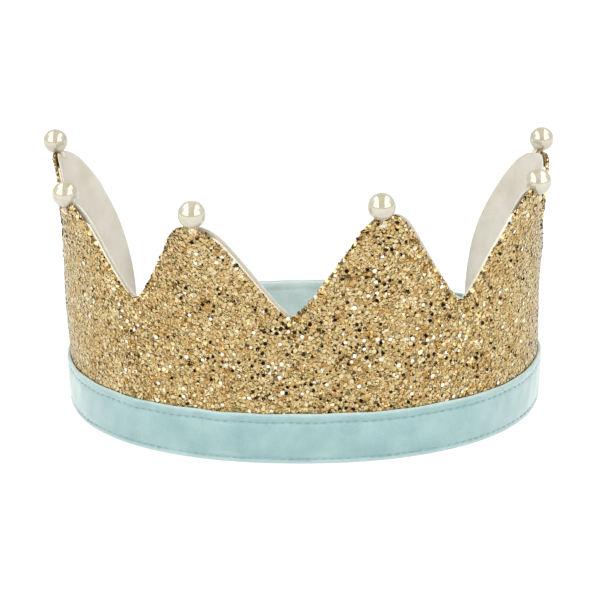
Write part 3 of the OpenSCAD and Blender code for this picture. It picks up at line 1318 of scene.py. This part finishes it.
@dataclass
class Wall:
    """The pointed wall: glitter cloth outside, felt inside it and cotton behind."""

    shape: WallShape
    station_mm: float = 0.9
    rows: int = 40
    glitter_faces: tuple[float, float] = (1.48, 0.58)
    felt_faces: tuple[float, float] = (0.5, -0.5)
    lining_faces: tuple[float, float] = (-0.58, -1.08)
    lining_shift: float = 0.8
    felt_rows: int = 14
    felt_inset: float = 0.6
    felt_area_share: float = 0.98
    # How far the glitter cloth is cut back along the slopes on each point's left and right
    left_cut: tuple[float, ...] = (0.0, 0.0, 0.3, 0.5, 1.0, 0.4)
    right_cut: tuple[float, ...] = (0.0, 0.4, 1.3, 0.9, 0.3, 0.0)
    shank_foot: float = 8.35
    flake_overlap: float = 0.6
    # Where along the front the painted dark reflections (nearly black flakes) and the painted glints (nearly
    # white flakes) lie thickest, and how far they spread
    painted_dark_reflection_middle: float = 18.0
    painted_dark_reflection_spread: float = 56.0
    painted_glint_middle: float = 4.0
    painted_glint_spread: float = 96.0
    # Towards the rear the cloth is smoothed down: from this place on, over this distance
    calm_start: float = 62.0
    calm_fade: float = 40.0
    grades: tuple[FlakeGrade, ...] = (
        FlakeGrade("glitter_flakes_large", 6, 0.84, 1.28, 13.0, 0.45, 3),
        FlakeGrade("glitter_flakes_medium", 6, 0.54, 0.78, 17.0, 0.32, 5),
        FlakeGrade("glitter_flakes_small", 4, 0.34, 0.46, 22.0, 0.2, 7),
        FlakeGrade("glitter_flakes_edge", 6, 0.78, 0.95, 58.0, 0.55, 9, "cut_edge"),
        # Painted dark reflections and painted glints: nearly black and nearly white flakes, thickest towards
        # the front
        FlakeGrade("glitter_flakes_painted_dark_reflection", 8, 0.72, 1.8, 6.0, 0.66, 17, "painted_dark_reflection_patches", Foil.BLACK),
        FlakeGrade("glitter_flakes_painted_glint", 8, 0.78, 2.2, 6.0, 0.62, 19, "painted_glint_patches", Foil.PAINTED_GLINT),
    )
    foils: tuple[FlakeFoil, ...] = (
        FlakeFoil(),
        # The nearly black foil paints dark reflections and the nearly white one paints glints
        FlakeFoil(Foil.BLACK.value, 0.3, ((0.0, "#1d150c"), (0.6, "#33261a"))),
        FlakeFoil(Foil.PAINTED_GLINT.value, 0.35, ((0.0, "#f3eedd"), (0.6, "#fffdf6"))),
    )

    def stations(self, step: float) -> np.ndarray:
        """Gives the places of the upright lines, closer together at the steep rear edges.

        Args:
            step: The distance between two lines elsewhere.

        Returns:
            Distances along the band.
        """
        shape = self.shape
        first, last = shape.places[0], shape.places[-1]
        main = np.linspace(first, last, int((last - first) / step) + 1)
        reach = shape.rear_reach
        turn = np.sin(np.linspace(0, math.pi / 2, int(reach / step * 1.4))[1:])
        return np.concatenate([(first - reach * turn)[::-1], main, last + reach * turn])

    def glitter_edge(self, places: np.ndarray) -> np.ndarray:
        """Gives the height of the glitter cloth's edge, which is cut back a little along the slopes.

        Args:
            places: Distances along the band.

        Returns:
            Heights.
        """
        shape = self.shape
        point = shape.point_at(places)
        away = places - shape.places[point]
        cut = np.where(away > 0, np.array(self.right_cut)[point], -np.array(self.left_cut)[point])
        cut = cut * np.clip(np.abs(away) / 4, 0, 1) * (1.1 - 1.6 * np.abs(away) / shape.pitch)
        cut = cut * ~shape.is_rear(places)
        return np.minimum(shape.edge(places), shape.edge(places + cut))

    def layer(
        self, name: str, faces: tuple[float, float], tops: np.ndarray, places: np.ndarray, rows: int
    ) -> bpy.types.Mesh:
        """Makes one layer with rounded edges.

        Args:
            name: The mesh's name.
            faces: Its outer and inner face, from the wall's middle.
            tops: The height of its edge at each place.
            places: The upright lines' places.
            rows: How many rows of faces it has.

        Returns:
            The mesh.
        """
        outer, inner = faces
        middle, radius = (outer + inner) / 2, (outer - inner) / 2
        share = np.linspace(0, 1, rows + 1)
        arc = np.linspace(0, math.pi, 7)[1:-1]
        bottom = self.shape.bottom
        heights, outs = [], []
        for top in tops:
            rise = bottom + (top - radius - bottom) * share
            heights.append(np.concatenate([rise, top - radius + radius * np.sin(arc), rise[::-1]]))
            flats = np.full(rows + 1, outer), np.full(rows + 1, inner)
            outs.append(np.concatenate([flats[0], middle + radius * np.cos(arc), flats[1]]))
        heights, outs = np.array(heights), np.array(outs)
        spread = np.repeat(places[:, None], heights.shape[1], 1)
        rings = self.shape.plan.beside(spread, self.shape.middle(spread, heights) + outs, heights)
        middle_line = heights[len(heights) // 2]
        round_it = np.concatenate([middle_line, middle_line[:1]])
        return loft(name, rings, places, round_it, closed=False)

    def build(self, ground: GlitterGround, felt: PressedFelt, cotton: WovenCotton) -> None:
        """Makes the three layers and their flakes.

        Args:
            ground: The glitter cloth's ground.
            felt: The felt's finish.
            cotton: The lining's finish.
        """
        shape = self.shape
        places = self.stations(self.station_mm)
        tops = shape.under_bead(places, self.glitter_edge(places))
        cloth = add_object(
            "gold_glitter_cloth",
            self.layer("gold_glitter_cloth", self.glitter_faces, tops, places, self.rows),
            ground.make(),
        )
        finish_piece(cloth, "glitter_cloth", "glitter_panel")
        self.mark_cover(cloth.data, places)
        flakes = self.scatter(cloth)

        coarse = self.stations(self.station_mm * 1.6)
        bead_foot = shape.beads[shape.point_at(coarse), 2] - self.shank_foot
        felt_tops = np.minimum(shape.under_bead(coarse, shape.edge(coarse) - self.felt_inset), bead_foot)
        inner = add_object(
            "felt_interlining",
            self.layer("felt_interlining", self.felt_faces, felt_tops, coarse, self.felt_rows),
            felt.make(),
        )
        finish_piece(inner, "felt", "felt_stiffener")

        shifted = np.where(shape.is_rear(places), places, places - self.lining_shift)
        lining_tops = shape.under_bead(places, shape.edge(shifted))
        lining = add_object(
            "cream_cotton_lining",
            self.layer("cream_cotton_lining", self.lining_faces, lining_tops, places, self.rows),
            cotton.make(),
        )
        finish_piece(lining, "cotton_lining", "cotton_lining")

    def scatter(self, cloth: bpy.types.Object) -> list[bpy.types.Object]:
        """Scatters each grade of flakes over the part of the cloth that it covers.

        Args:
            cloth: The glitter cloth, with its cover marked.

        Returns:
            The pieces of flakes.
        """
        trees = {foil.name: flake_tree(foil.make()) for foil in self.foils}
        pieces = []
        for grade in self.grades:
            sizes = {
                "Cover": grade.cover,
                "Corners": grade.corners,
                "Radius": grade.radius * MM,
                "Spacing": grade.spacing * MM,
                "Density": 1.5 / (grade.spacing * MM) ** 2,
                "Tilt": math.radians(grade.tilt),
                "Lift": grade.lift * MM,
                "Seed": grade.seed,
            }
            flakes = grown(grade.name, cloth, trees[grade.foil.value], sizes)
            pieces.append(finish_piece(flakes, "glitter_cloth"))
        return pieces

    def mark_cover(self, mesh: bpy.types.Mesh, places: np.ndarray) -> None:
        """Marks how thickly each face carries flakes, and how calmly they lie.

        Args:
            mesh: The glitter cloth's mesh.
            places: The upright lines' places.
        """
        corners = 2 * (self.rows + 1) + 5
        face = np.arange(len(mesh.polygons))
        column = face % corners
        place = ((places[:-1] + places[1:]) / 2)[np.minimum(face // corners, len(places) - 2)]
        centres = np.zeros(len(mesh.polygons) * 3)
        mesh.polygons.foreach_get("center", centres)
        heights = centres.reshape(-1, 3)[:, 2] / MM
        # The outer face and the turn over its top, from just inside the band up, without the two end caps
        carries = (column < self.rows + 4) & (heights > self.shape.band_height - self.flake_overlap)
        carries[-2:] = False
        waves = np.sin(place / 6.1 + heights / 9.0), np.sin(heights / 5.3 - place / 13.0 + 1.0)
        clumps = 0.5 + 0.5 * waves[0] * waves[1]
        # Painted dark reflections and painted glints: shares of nearly black and nearly white flakes,
        # thickest towards the front
        dark = np.exp(-(((place - self.painted_dark_reflection_middle) / self.painted_dark_reflection_spread) ** 4))
        painted_glint_share = np.exp(-(((place - self.painted_glint_middle) / self.painted_glint_spread) ** 6))
        covers = {
            "all_over": carries.astype(float),
            "cut_edge": carries * (column >= self.rows - 1) * 0.8,
            "painted_dark_reflection_patches": carries * dark * (0.04 + 1.35 * clumps**2),
            "painted_glint_patches": carries * painted_glint_share * (0.16 + 0.3 * clumps),
            "calm": np.clip((np.abs(place) - self.calm_start) / self.calm_fade, 0, 1),
        }
        for name, share in covers.items():
            mesh.attributes.new(name, "FLOAT", "FACE").data.foreach_set("value", share)


# ---------------------------------------------------------------- the band


@dataclass
class Band:
    """The velvet band: two strips, four rows of stitches, and the elastic held between them."""

    shape: WallShape
    height: float = 18.5
    strip: float = 1.0
    outer_face: float = 0.0
    inner_face: float = -4.72
    upper_seam: float = 15.3
    lower_seam: float = 1.8
    seam_depth: float = 0.42
    seam_width: float = 0.75
    stitch_pitch: float = 2.8
    stitch_length: float = 2.3
    thread: float = 0.34
    puff: float = 0.30
    ridge: float = 0.22
    foot: float = 0.12
    station_mm: float = 0.7
    back_close: float = 1.25
    inner_pull: float = 0.4
    elastic_gap: float = 1.5
    elastic_thickness: float = 1.4
    tack_inset: float = 3.0
    tack_rows: int = 6
    tack_lift: float = 0.32
    cut_allowance: float = 3.0
    # The turned hem under the wall, outwards and up, from the strip's inner face round to its outer one
    hem: tuple[tuple[float, float], ...] = (
        (-1.5, 1.0),
        (-2.5, 0.95),
        (-2.54, 0.5),
        (-2.5, 0.05),
        (-1.2, 0.0),
        (-0.45, 0.0),
        (-0.12, 0.18),
    )

    def face_profile(self, height: np.ndarray) -> np.ndarray:
        """Gives how far the velvet's face stands out of its flat, over the band's height.

        Args:
            height: Heights.

        Returns:
            Distances out of the flat.
        """
        between = np.clip((height - self.lower_seam) / (self.upper_seam - self.lower_seam), 0, 1)
        puff = self.puff * np.sin(math.pi * between) ** 0.6
        ridge = self.ridge * np.exp(-(((height - (self.upper_seam + self.height) / 2) / 1.0) ** 2))
        foot = self.foot * np.exp(-(((height - self.lower_seam / 2) / 0.7) ** 2))
        return puff + ridge + foot

    def groove(self, height: np.ndarray, place: np.ndarray) -> np.ndarray:
        """Gives how deep the stitches pull the velvet in.

        Args:
            height: Heights.
            place: Distances along the band.

        Returns:
            Depths.
        """
        pulled = 0.72 + 0.28 * np.cos(2 * math.pi * place / self.stitch_pitch)
        depth = np.zeros_like(height)
        for seam in (self.upper_seam, self.lower_seam):
            depth += self.seam_depth * pulled * np.exp(-(((height - seam) / self.seam_width) ** 2))
        return depth

    def back_share(self, place: np.ndarray) -> np.ndarray:
        """Gives how far behind the wall's rear edges a place is.

        Args:
            place: Distances along the band.

        Returns:
            Shares, from 0 at the edges to 1 at 9.5 mm behind them.
        """
        half = self.shape.plan.length / 2
        around = np.mod(place + half, 2 * half) - half
        left, right = self.shape.ends
        rise = np.clip((np.maximum(around - right, left - around) - 0.5) / 9, 0, 1)
        return rise * rise * (3 - 2 * rise)

    def wander(self, place: np.ndarray, height: np.ndarray) -> np.ndarray:
        """Gives the soft unevenness of a sewn strip.

        Args:
            place: Distances along the band.
            height: Heights.

        Returns:
            Distances outwards.
        """
        turns = 2 * math.pi / self.shape.plan.length
        return (
            0.14 * np.sin(17 * turns * place + 1.0)
            + 0.10 * np.sin(31 * turns * place + height / 4 + 2.0)
            + 0.06 * np.sin(67 * turns * place - height / 3)
        )

    def rise(self, place: np.ndarray) -> np.ndarray:
        """Gives how far the band's top edge wanders up and down.

        Args:
            place: Distances along the band.

        Returns:
            Distances upwards.
        """
        turns = 2 * math.pi / self.shape.plan.length
        return 0.12 * np.sin(11 * turns * place + 0.4) + 0.09 * np.sin(29 * turns * place + 1.9)

    def build(
        self, velvets: dict[Side, Velvet], sewings: dict[Side, TwistedThread], elastic: WovenElastic
    ) -> None:
        """Makes the strips, the seams, the elastic and its tacks.

        Args:
            velvets: Each strip's finish.
            sewings: The finish of each face's topstitching.
            elastic: The elastic's finish.
        """
        sewn = {side: sewings[side].make() for side in Side}
        names = {Side.OUTER: "velvet_strip_outside", Side.INNER: "velvet_strip_inside"}
        nodes = {Side.OUTER: "velvet_outer_strip", Side.INNER: "velvet_inner_strip"}
        threads = {Side.OUTER: "needle", Side.INNER: "bobbin"}
        for side in Side:
            strip = add_object(names[side], self.strip_mesh(names[side], side), velvets[side].make())
            finish_piece(strip, "velvet", nodes[side])
            tree = stitch_tree(sewn[side])
            rows = []
            for level, height in (("upper", self.upper_seam), ("lower", self.lower_seam)):
                name = f"{level}_topstitch_{threads[side]}_side"
                line = self.seam_line(name, side, height)
                sizes = {
                    "Pitch": self.stitch_pitch * MM,
                    "Length": self.stitch_length * MM,
                    "Thickness": self.thread * MM,
                    "Seed": len(rows) + 3,
                }
                row = grown(name, line, tree, sizes)
                bpy.data.objects.remove(line)
                rows.append(finish_piece(row, "topstitch_thread", f"{level}_seam_{threads[side]}_thread"))
        self.elastic(elastic)
        for name, sign in (("elastic_tack_left", -1), ("elastic_tack_right", 1)):
            self.tack(name, sign, sewn[Side.INNER])

    def strip_mesh(self, name: str, side: Side) -> bpy.types.Mesh:
        """Makes one strip with its seams pulled in, its turned edges and the hem under the wall.

        Args:
            name: The mesh's name.
            side: Which face of the band it is on.

        Returns:
            The mesh.
        """
        plan = self.shape.plan
        count = int(plan.length / self.station_mm)
        places = np.arange(count) * plan.length / count
        # Rows lie closer together round the two seams
        rows = ((0.55, 3.9, 12), (4.6, 13.6, 10), (14.0, 17.7, 14))
        face_rows = np.concatenate([np.linspace(*row) for row in rows])
        turn = np.linspace(0, math.pi, 8)[1:-1]
        radius = self.strip / 2
        top_out = radius * (np.cos(turn) - 1)
        top_up = self.height - radius - 0.15 + (radius + 0.15) * np.sin(turn)
        back_rows = np.array([17.4, 12.0, 6.0, 2.0, 1.15])
        hem = np.array(self.hem)
        front, back = np.zeros(len(face_rows)), np.full(len(back_rows), -self.strip)
        outs = np.concatenate([front, top_out, back, hem[:, 0]])
        ups = np.concatenate([face_rows, top_up, back_rows, hem[:, 1]])
        hidden = np.zeros(len(back_rows) + len(hem) - 2)
        on_face = np.concatenate([np.ones(len(face_rows)), (np.cos(turn) + 1) / 2, hidden, [0.3, 0.8]])
        spread = np.repeat(places[:, None], len(ups), 1)
        levels = np.repeat(ups[None], count, 0)
        faces = np.repeat(on_face[None], count, 0)
        out = np.repeat(outs[None], count, 0)
        pull = self.inner_pull if side is Side.INNER else 1.0
        out = out + faces * (self.face_profile(levels) - pull * self.groove(levels, spread))
        closing = self.back_share(spread) * self.back_close * np.clip(levels / self.height, 0, 1) ** 3
        wander = self.wander(spread, levels) * np.clip(levels / 4, 0.15, 1) * faces
        lifted = levels + self.rise(spread) * np.clip((levels - 12) / 6, 0, 1)
        if side is Side.OUTER:
            placed = self.outer_face + out - closing + wander
        else:
            placed = self.inner_face - out + closing - wander
        rings = plan.beside(spread, placed, lifted)
        steps = np.hypot(np.diff(outs, append=outs[0]), np.diff(ups, append=ups[0]))
        return loft(name, rings, np.append(places, plan.length), np.r_[0, np.cumsum(steps)], closed=True)

    def seam_line(self, name: str, side: Side, height: float) -> bpy.types.Object:
        """Makes the line that a row of stitches follows.

        Args:
            name: The line's name.
            side: Which face of the band it is on.
            height: The seam's height.

        Returns:
            The line, as an object with edges only.
        """
        plan = self.shape.plan
        count = int(plan.length / self.station_mm)
        places = np.arange(count) * plan.length / count
        level = np.full(count, height)
        pull = self.inner_pull if side is Side.INNER else 1.0
        sunk = self.seam_depth * 0.8 * pull - self.thread * 0.3
        out = self.face_profile(level) - sunk + self.wander(places, level)
        closing = self.back_share(places) * self.back_close * (height / self.height) ** 3
        if side is Side.OUTER:
            placed = self.outer_face + out - closing
        else:
            placed = self.inner_face - out + closing
        points = plan.beside(places, placed, level + self.rise(places) * np.clip((level - 12) / 6, 0, 1)) * MM
        mesh = bpy.data.meshes.new(name)
        mesh.from_pydata(points.tolist(), [(i, (i + 1) % count) for i in range(count)], [])
        line = bpy.data.objects.new(f"{name}_line", mesh)
        bpy.context.scene.collection.objects.link(line)
        return line

    def elastic(self, finish: WovenElastic) -> None:
        """Makes the flat elastic inside the bare back of the band.

        Args:
            finish: The elastic's finish.
        """
        plan = self.shape.plan
        low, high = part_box("back_elastic")
        bottom, top = low.z / MM, high.z / MM
        left, right = self.shape.ends
        start, stop = right + self.elastic_gap, plan.length + left - self.elastic_gap
        middle = (self.inner_face - self.strip) / 2
        places = np.linspace(start, stop, 180)
        turn = np.linspace(0, math.pi, 7)
        half = self.elastic_thickness / 2
        ups = np.concatenate([top - half + half * np.sin(turn), bottom + half - half * np.sin(turn)])
        outs = np.concatenate([half * np.cos(turn), -half * np.cos(turn)])
        spread = np.repeat(places[:, None], len(ups), 1)
        levels = np.repeat(ups[None], len(places), 0)
        rings = plan.beside(spread, middle + np.repeat(outs[None], len(places), 0), levels)
        steps = np.hypot(np.diff(outs, append=outs[0]), np.diff(ups, append=ups[0]))
        mesh = loft("woven_back_elastic", rings, places, np.r_[0, np.cumsum(steps)], closed=False)
        piece = finish_piece(add_object("woven_back_elastic", mesh, finish.make()), "elastic", "back_elastic")

    def tack(self, node: str, sign: int, material: bpy.types.Material) -> None:
        """Makes the bar of stitches that holds one end of the elastic.

        Args:
            node: The CAD node it stands for.
            sign: 1 for the right-hand end and -1 for the left-hand one.
            material: The thread's material.
        """
        place = self.shape.ends[0 if sign < 0 else 1] + sign * (self.elastic_gap + self.tack_inset)
        low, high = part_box(node)
        heights = np.linspace(low.z / MM + 0.4, high.z / MM - 0.4, self.tack_rows)
        span = (heights[1] - heights[0]) * 0.9
        meshes = []
        for height in heights:
            for face, lift in ((self.outer_face, self.tack_lift), (self.inner_face, -self.tack_lift)):
                ups = np.linspace(-span / 2, span / 2, 7)
                bow = np.cos(ups / span * math.pi) * 0.2
                out = face + lift + bow * np.sign(lift)
                path = self.shape.plan.beside(np.full(7, place), out, height + ups)
                meshes.append(tube(node, path, self.thread / 2))
        finish_piece(joined(f"{node}_bar", meshes, material), "topstitch_thread", node)


# ---------------------------------------------------------------- the pearls


@dataclass
class Pearls:
    """The six pearl beads, each with its shank and the thread that holds it."""

    shape: WallShape
    shank_width: float = 3.2
    shank_thickness: float = 0.8
    shank_stretch: float = 1.9
    eye_drop: float = 6.45
    eye_radius: float = 0.65
    thread_radius: float = 0.17
    strand_count: int = 7
    strand_pitch: float = 0.36
    # How far the strands behind the point stand out, beside those in front
    back_depth: float = 0.78

    def build(self, lacquer: PearlLacquer, thread: TwistedThread) -> None:
        """Makes every bead and its thread.

        Args:
            lacquer: The beads' finish.
            thread: The hand-sewing thread's finish.
        """
        pearl, cotton = lacquer.make(), thread.make()
        for number, node in enumerate(self.shape.pearls):
            turn = self.shape.bead_frame(number)
            bead = joined(f"{node}_bead", [self.bead(node, turn)], pearl)
            finish_piece(bead, "pearl", node)
            tie = joined(f"{node}_tie", self.strands(node, number, turn), cotton)
            finish_piece(tie, "sewing_thread", node.replace("pearl_", "pearl_thread_"))

    def bead(self, name: str, turn: Matrix) -> bpy.types.Mesh:
        """Makes one bead with the drilled shank under it.

        Args:
            name: The mesh's name.
            turn: The bead's frame.

        Returns:
            The mesh.
        """
        work = bmesh.new()
        bmesh.ops.create_uvsphere(work, u_segments=56, v_segments=36, radius=self.shape.bead_radius * MM)
        sides, half = 20, self.shank_thickness / 2 * MM
        outer, eye = self.shank_width / 2, self.eye_radius
        loops = []
        for radius, depth in ((outer, -half), (outer, half), (eye, half), (eye, -half)):
            ring = []
            for k in range(sides):
                angle = 2 * math.pi * k / sides
                up = radius * math.sin(angle)
                if radius == outer and up > 0:
                    up *= self.shank_stretch
                across = radius * math.cos(angle)
                ring.append(work.verts.new((across * MM, depth, (up - self.eye_drop) * MM)))
            loops.append(ring)
        for a, b in zip(loops, loops[1:] + loops[:1]):
            for k in range(sides):
                n = (k + 1) % sides
                work.faces.new((a[k], a[n], b[n], b[k]))
        bmesh.ops.recalc_face_normals(work, faces=work.faces)
        for face in work.faces:
            face.smooth = True
        mesh = bpy.data.meshes.new(name)
        work.to_mesh(mesh)
        work.free()
        mesh.transform(turn)
        return mesh

    def strands(self, name: str, number: int, turn: Matrix) -> list[bpy.types.Mesh]:
        """Makes the passes of thread that go through the shank's eye and over both faces of the point.

        Args:
            name: The meshes' name.
            number: The bead's number, which makes every knot a little different.
            turn: The bead's frame.

        Returns:
            The strands' meshes.
        """
        random = np.random.default_rng(40 + number)
        rotation = np.array(turn.to_3x3())
        centre = np.array(turn.translation) / MM
        meshes = []
        for strand in range(self.strand_count):
            aside = (strand - self.strand_count // 2) * self.strand_pitch + random.uniform(-0.12, 0.12)
            top = -self.shape.bead_radius + random.uniform(-0.1, 0.35)
            low = -self.eye_drop + random.uniform(-0.6, 0.4)
            slant = random.uniform(-0.35, 0.35)
            # Out of the eye, up over the point's face and in again under the bead
            front = np.array(
                [
                    [aside + slant, -1.0, low],
                    [aside + slant, -1.95, low + 0.15],
                    [aside + slant * 0.6, -2.05, (low + top) / 2],
                    [aside, -1.75, top - 0.1],
                    [aside * 0.9, -1.0, top + 0.05],
                ]
            )
            back = front * [1, -self.back_depth, 1]
            for path in (front, back):
                smooth = self.smoothed(path)
                meshes.append(tube(name, smooth @ rotation.T + centre, self.thread_radius))
        return meshes

    @staticmethod
    def smoothed(path: np.ndarray, steps: int = 14) -> np.ndarray:
        """Gives a smooth line through a few points.

        Args:
            path: The points, in mm.
            steps: How many points the line has.

        Returns:
            The line's points, in mm.
        """
        place = np.linspace(0, len(path) - 1, len(path))
        wanted = np.linspace(0, len(path) - 1, steps)
        out = np.stack([np.interp(wanted, place, path[:, k]) for k in range(3)], 1)
        for _ in range(2):
            out[1:-1] = (out[:-2] + 2 * out[1:-1] + out[2:]) / 4
        return out


# ---------------------------------------------------------------- the studio


@dataclass
class Studio:
    """White paper, two tall soft lights with a gap between them, and the camera.

    The camera's target and distance and the floor's gap are in mm. The floor, lights and cards are in metres.
    """

    target: tuple[float, float, float] = (-1.16, 0.0, 34.24)
    distance: float = 529.6
    azimuth: float = math.radians(1.85)
    elevation: float = math.radians(20.74)
    roll: float = -0.0155
    lens: float = 84.3
    floor_size: float = 8.0
    floor_gap: float = 0.2
    light_power: float = 15.2
    light_distance: float = 1.3
    window: tuple[float, float] = (1.0, 1.75)
    window_place: tuple[float, float] = (51.0, 48.0)
    surround: float = 0.47
    card_radius: float = 0.85
    card_steps: int = 24

    def build(self) -> None:
        """Makes the floor, the lights, the surroundings and the camera."""
        self.floor()
        self.lights()
        self.card("gap_card", (-21.0, 21.0), (11.0, 130.0), CardBoard())
        edge = CardBoard("grey_cardboard", "#5d5a52", "#67645c")
        self.card("table_edge_card", (-80.0, 80.0), (4.0, 11.0), edge)
        for name, azimuths in (("tent_wall_left", (-76.0, -21.0)), ("tent_wall_right", (21.0, 76.0))):
            self.card(name, azimuths, (11.0, 130.0), TentCloth())
        self.surroundings()
        self.camera()
        bpy.context.scene.view_settings.view_transform = "Standard"

    def floor(self) -> None:
        """Lays the paper that the crown stands on."""
        work = bmesh.new()
        bmesh.ops.create_grid(work, x_segments=2, y_segments=2, size=self.floor_size / 2)
        mesh = bpy.data.meshes.new("studio_floor")
        work.to_mesh(mesh)
        work.free()
        paper = add_object("studio_floor", mesh, MattPaper().make())
        paper.location.z = -self.floor_gap * MM

    def lights(self) -> None:
        """Hangs the two tall window lights."""
        azimuth, elevation = self.window_place
        for name, side in (("window_left", -1), ("window_right", 1)):
            data = bpy.data.lights.new(name, "AREA")
            data.shape = "RECTANGLE"
            data.size, data.size_y = self.window
            data.energy = self.light_power
            lamp = bpy.data.objects.new(name, data)
            a, e = math.radians(azimuth) * side, math.radians(elevation)
            away = Vector((math.sin(a) * math.cos(e), -math.cos(a) * math.cos(e), math.sin(e)))
            lamp.location = away * self.light_distance
            lamp.rotation_euler = away.to_track_quat("Z", "Y").to_euler()
            lamp.visible_camera = False
            lamp.visible_glossy = False
            bpy.context.scene.collection.objects.link(lamp)

    def card(
        self,
        name: str,
        azimuths: tuple[float, float],
        elevations: tuple[float, float],
        board: CardBoard | TentCloth,
    ) -> None:
        """Bends a card round the object, which only the beads and flakes mirror.

        Args:
            name: The card's name.
            azimuths: Where it starts and stops sideways, in degrees from the front.
            elevations: Where it starts and stops upwards, in degrees.
            board: Its finish.
        """
        steps, radius = self.card_steps, self.card_radius
        sides = np.radians(np.linspace(*azimuths, steps + 1))
        ups = np.radians(np.linspace(*elevations, steps + 1))
        # The sides stay upright planes, so that the reflected gap between two cards has straight edges
        grid = [
            (radius * math.sin(a), -radius * math.cos(a) * math.cos(e), radius * math.sin(e))
            for e in ups
            for a in sides
        ]
        firsts = [(steps + 1) * i + j for i in range(steps) for j in range(steps)]
        faces = [(k, k + 1, k + steps + 2, k + steps + 1) for k in firsts]
        mesh = bpy.data.meshes.new(name)
        mesh.from_pydata(grid, [], faces)
        card = add_object(name, mesh, board.make())
        card.visible_camera = False
        card.visible_diffuse = False
        card.visible_shadow = False

    def surroundings(self) -> None:
        """Sets the pale light from all round."""
        world = bpy.data.worlds.new("studio")
        bpy.context.scene.world = world
        world.use_nodes = True
        shade = world.node_tree.nodes["Background"]
        shade.inputs["Color"].default_value = srgb("#ffffff")
        shade.inputs["Strength"].default_value = self.surround

    def camera(self) -> None:
        """Places the camera."""
        data = bpy.data.cameras.new("camera")
        data.lens = self.lens
        data.sensor_width = 36.0
        data.clip_start, data.clip_end = 0.01, 50.0
        camera = bpy.data.objects.new("camera", data)
        azimuth, elevation = self.azimuth, self.elevation
        flat = math.cos(elevation)
        back = Vector((math.sin(azimuth) * flat, -math.cos(azimuth) * flat, math.sin(elevation)))
        right = (-back).cross(Vector((0, 0, 1))).normalized()
        up = right.cross(-back)
        cos, sin = math.cos(self.roll), math.sin(self.roll)
        right, up = cos * right + sin * up, cos * up - sin * right
        place = (Vector(self.target) + back * self.distance) * MM
        camera.matrix_world = Matrix(
            [[*row, place[k]] for k, row in enumerate(zip(right, up, back))] + [[0, 0, 0, 1]]
        )
        bpy.context.scene.collection.objects.link(camera)
        bpy.context.scene.camera = camera


def main() -> None:
    """Builds the crown and its studio, and reports every piece."""
    logging.basicConfig(level=logging.INFO, format="%(name)s: %(message)s")
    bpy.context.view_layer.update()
    shape = WallShape(BandPlan())
    Studio().build()
    Wall(shape).build(GlitterGround(), PressedFelt(), WovenCotton())
    # The last colour is the inside strip's painted sheen at its ends and edges
    inside = Velvet("aqua_velvet_inside", "#9aacaa", "#adbdba", "#bccac6")
    velvets = {Side.OUTER: Velvet(), Side.INNER: inside}
    sewings = {
        Side.OUTER: TwistedThread("teal_topstitching", "#87abb1", "#6c929b"),
        Side.INNER: TwistedThread("grey_bobbin_thread", "#a3b1ab", "#8e9f9a"),
    }
    Band(shape).build(velvets, sewings, WovenElastic())
    Pearls(shape).build(PearlLacquer(), TwistedThread("cream_cotton_thread", "#f3ead4", "#ddcfae"))
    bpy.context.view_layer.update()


if __name__ == "__main__":
    main()
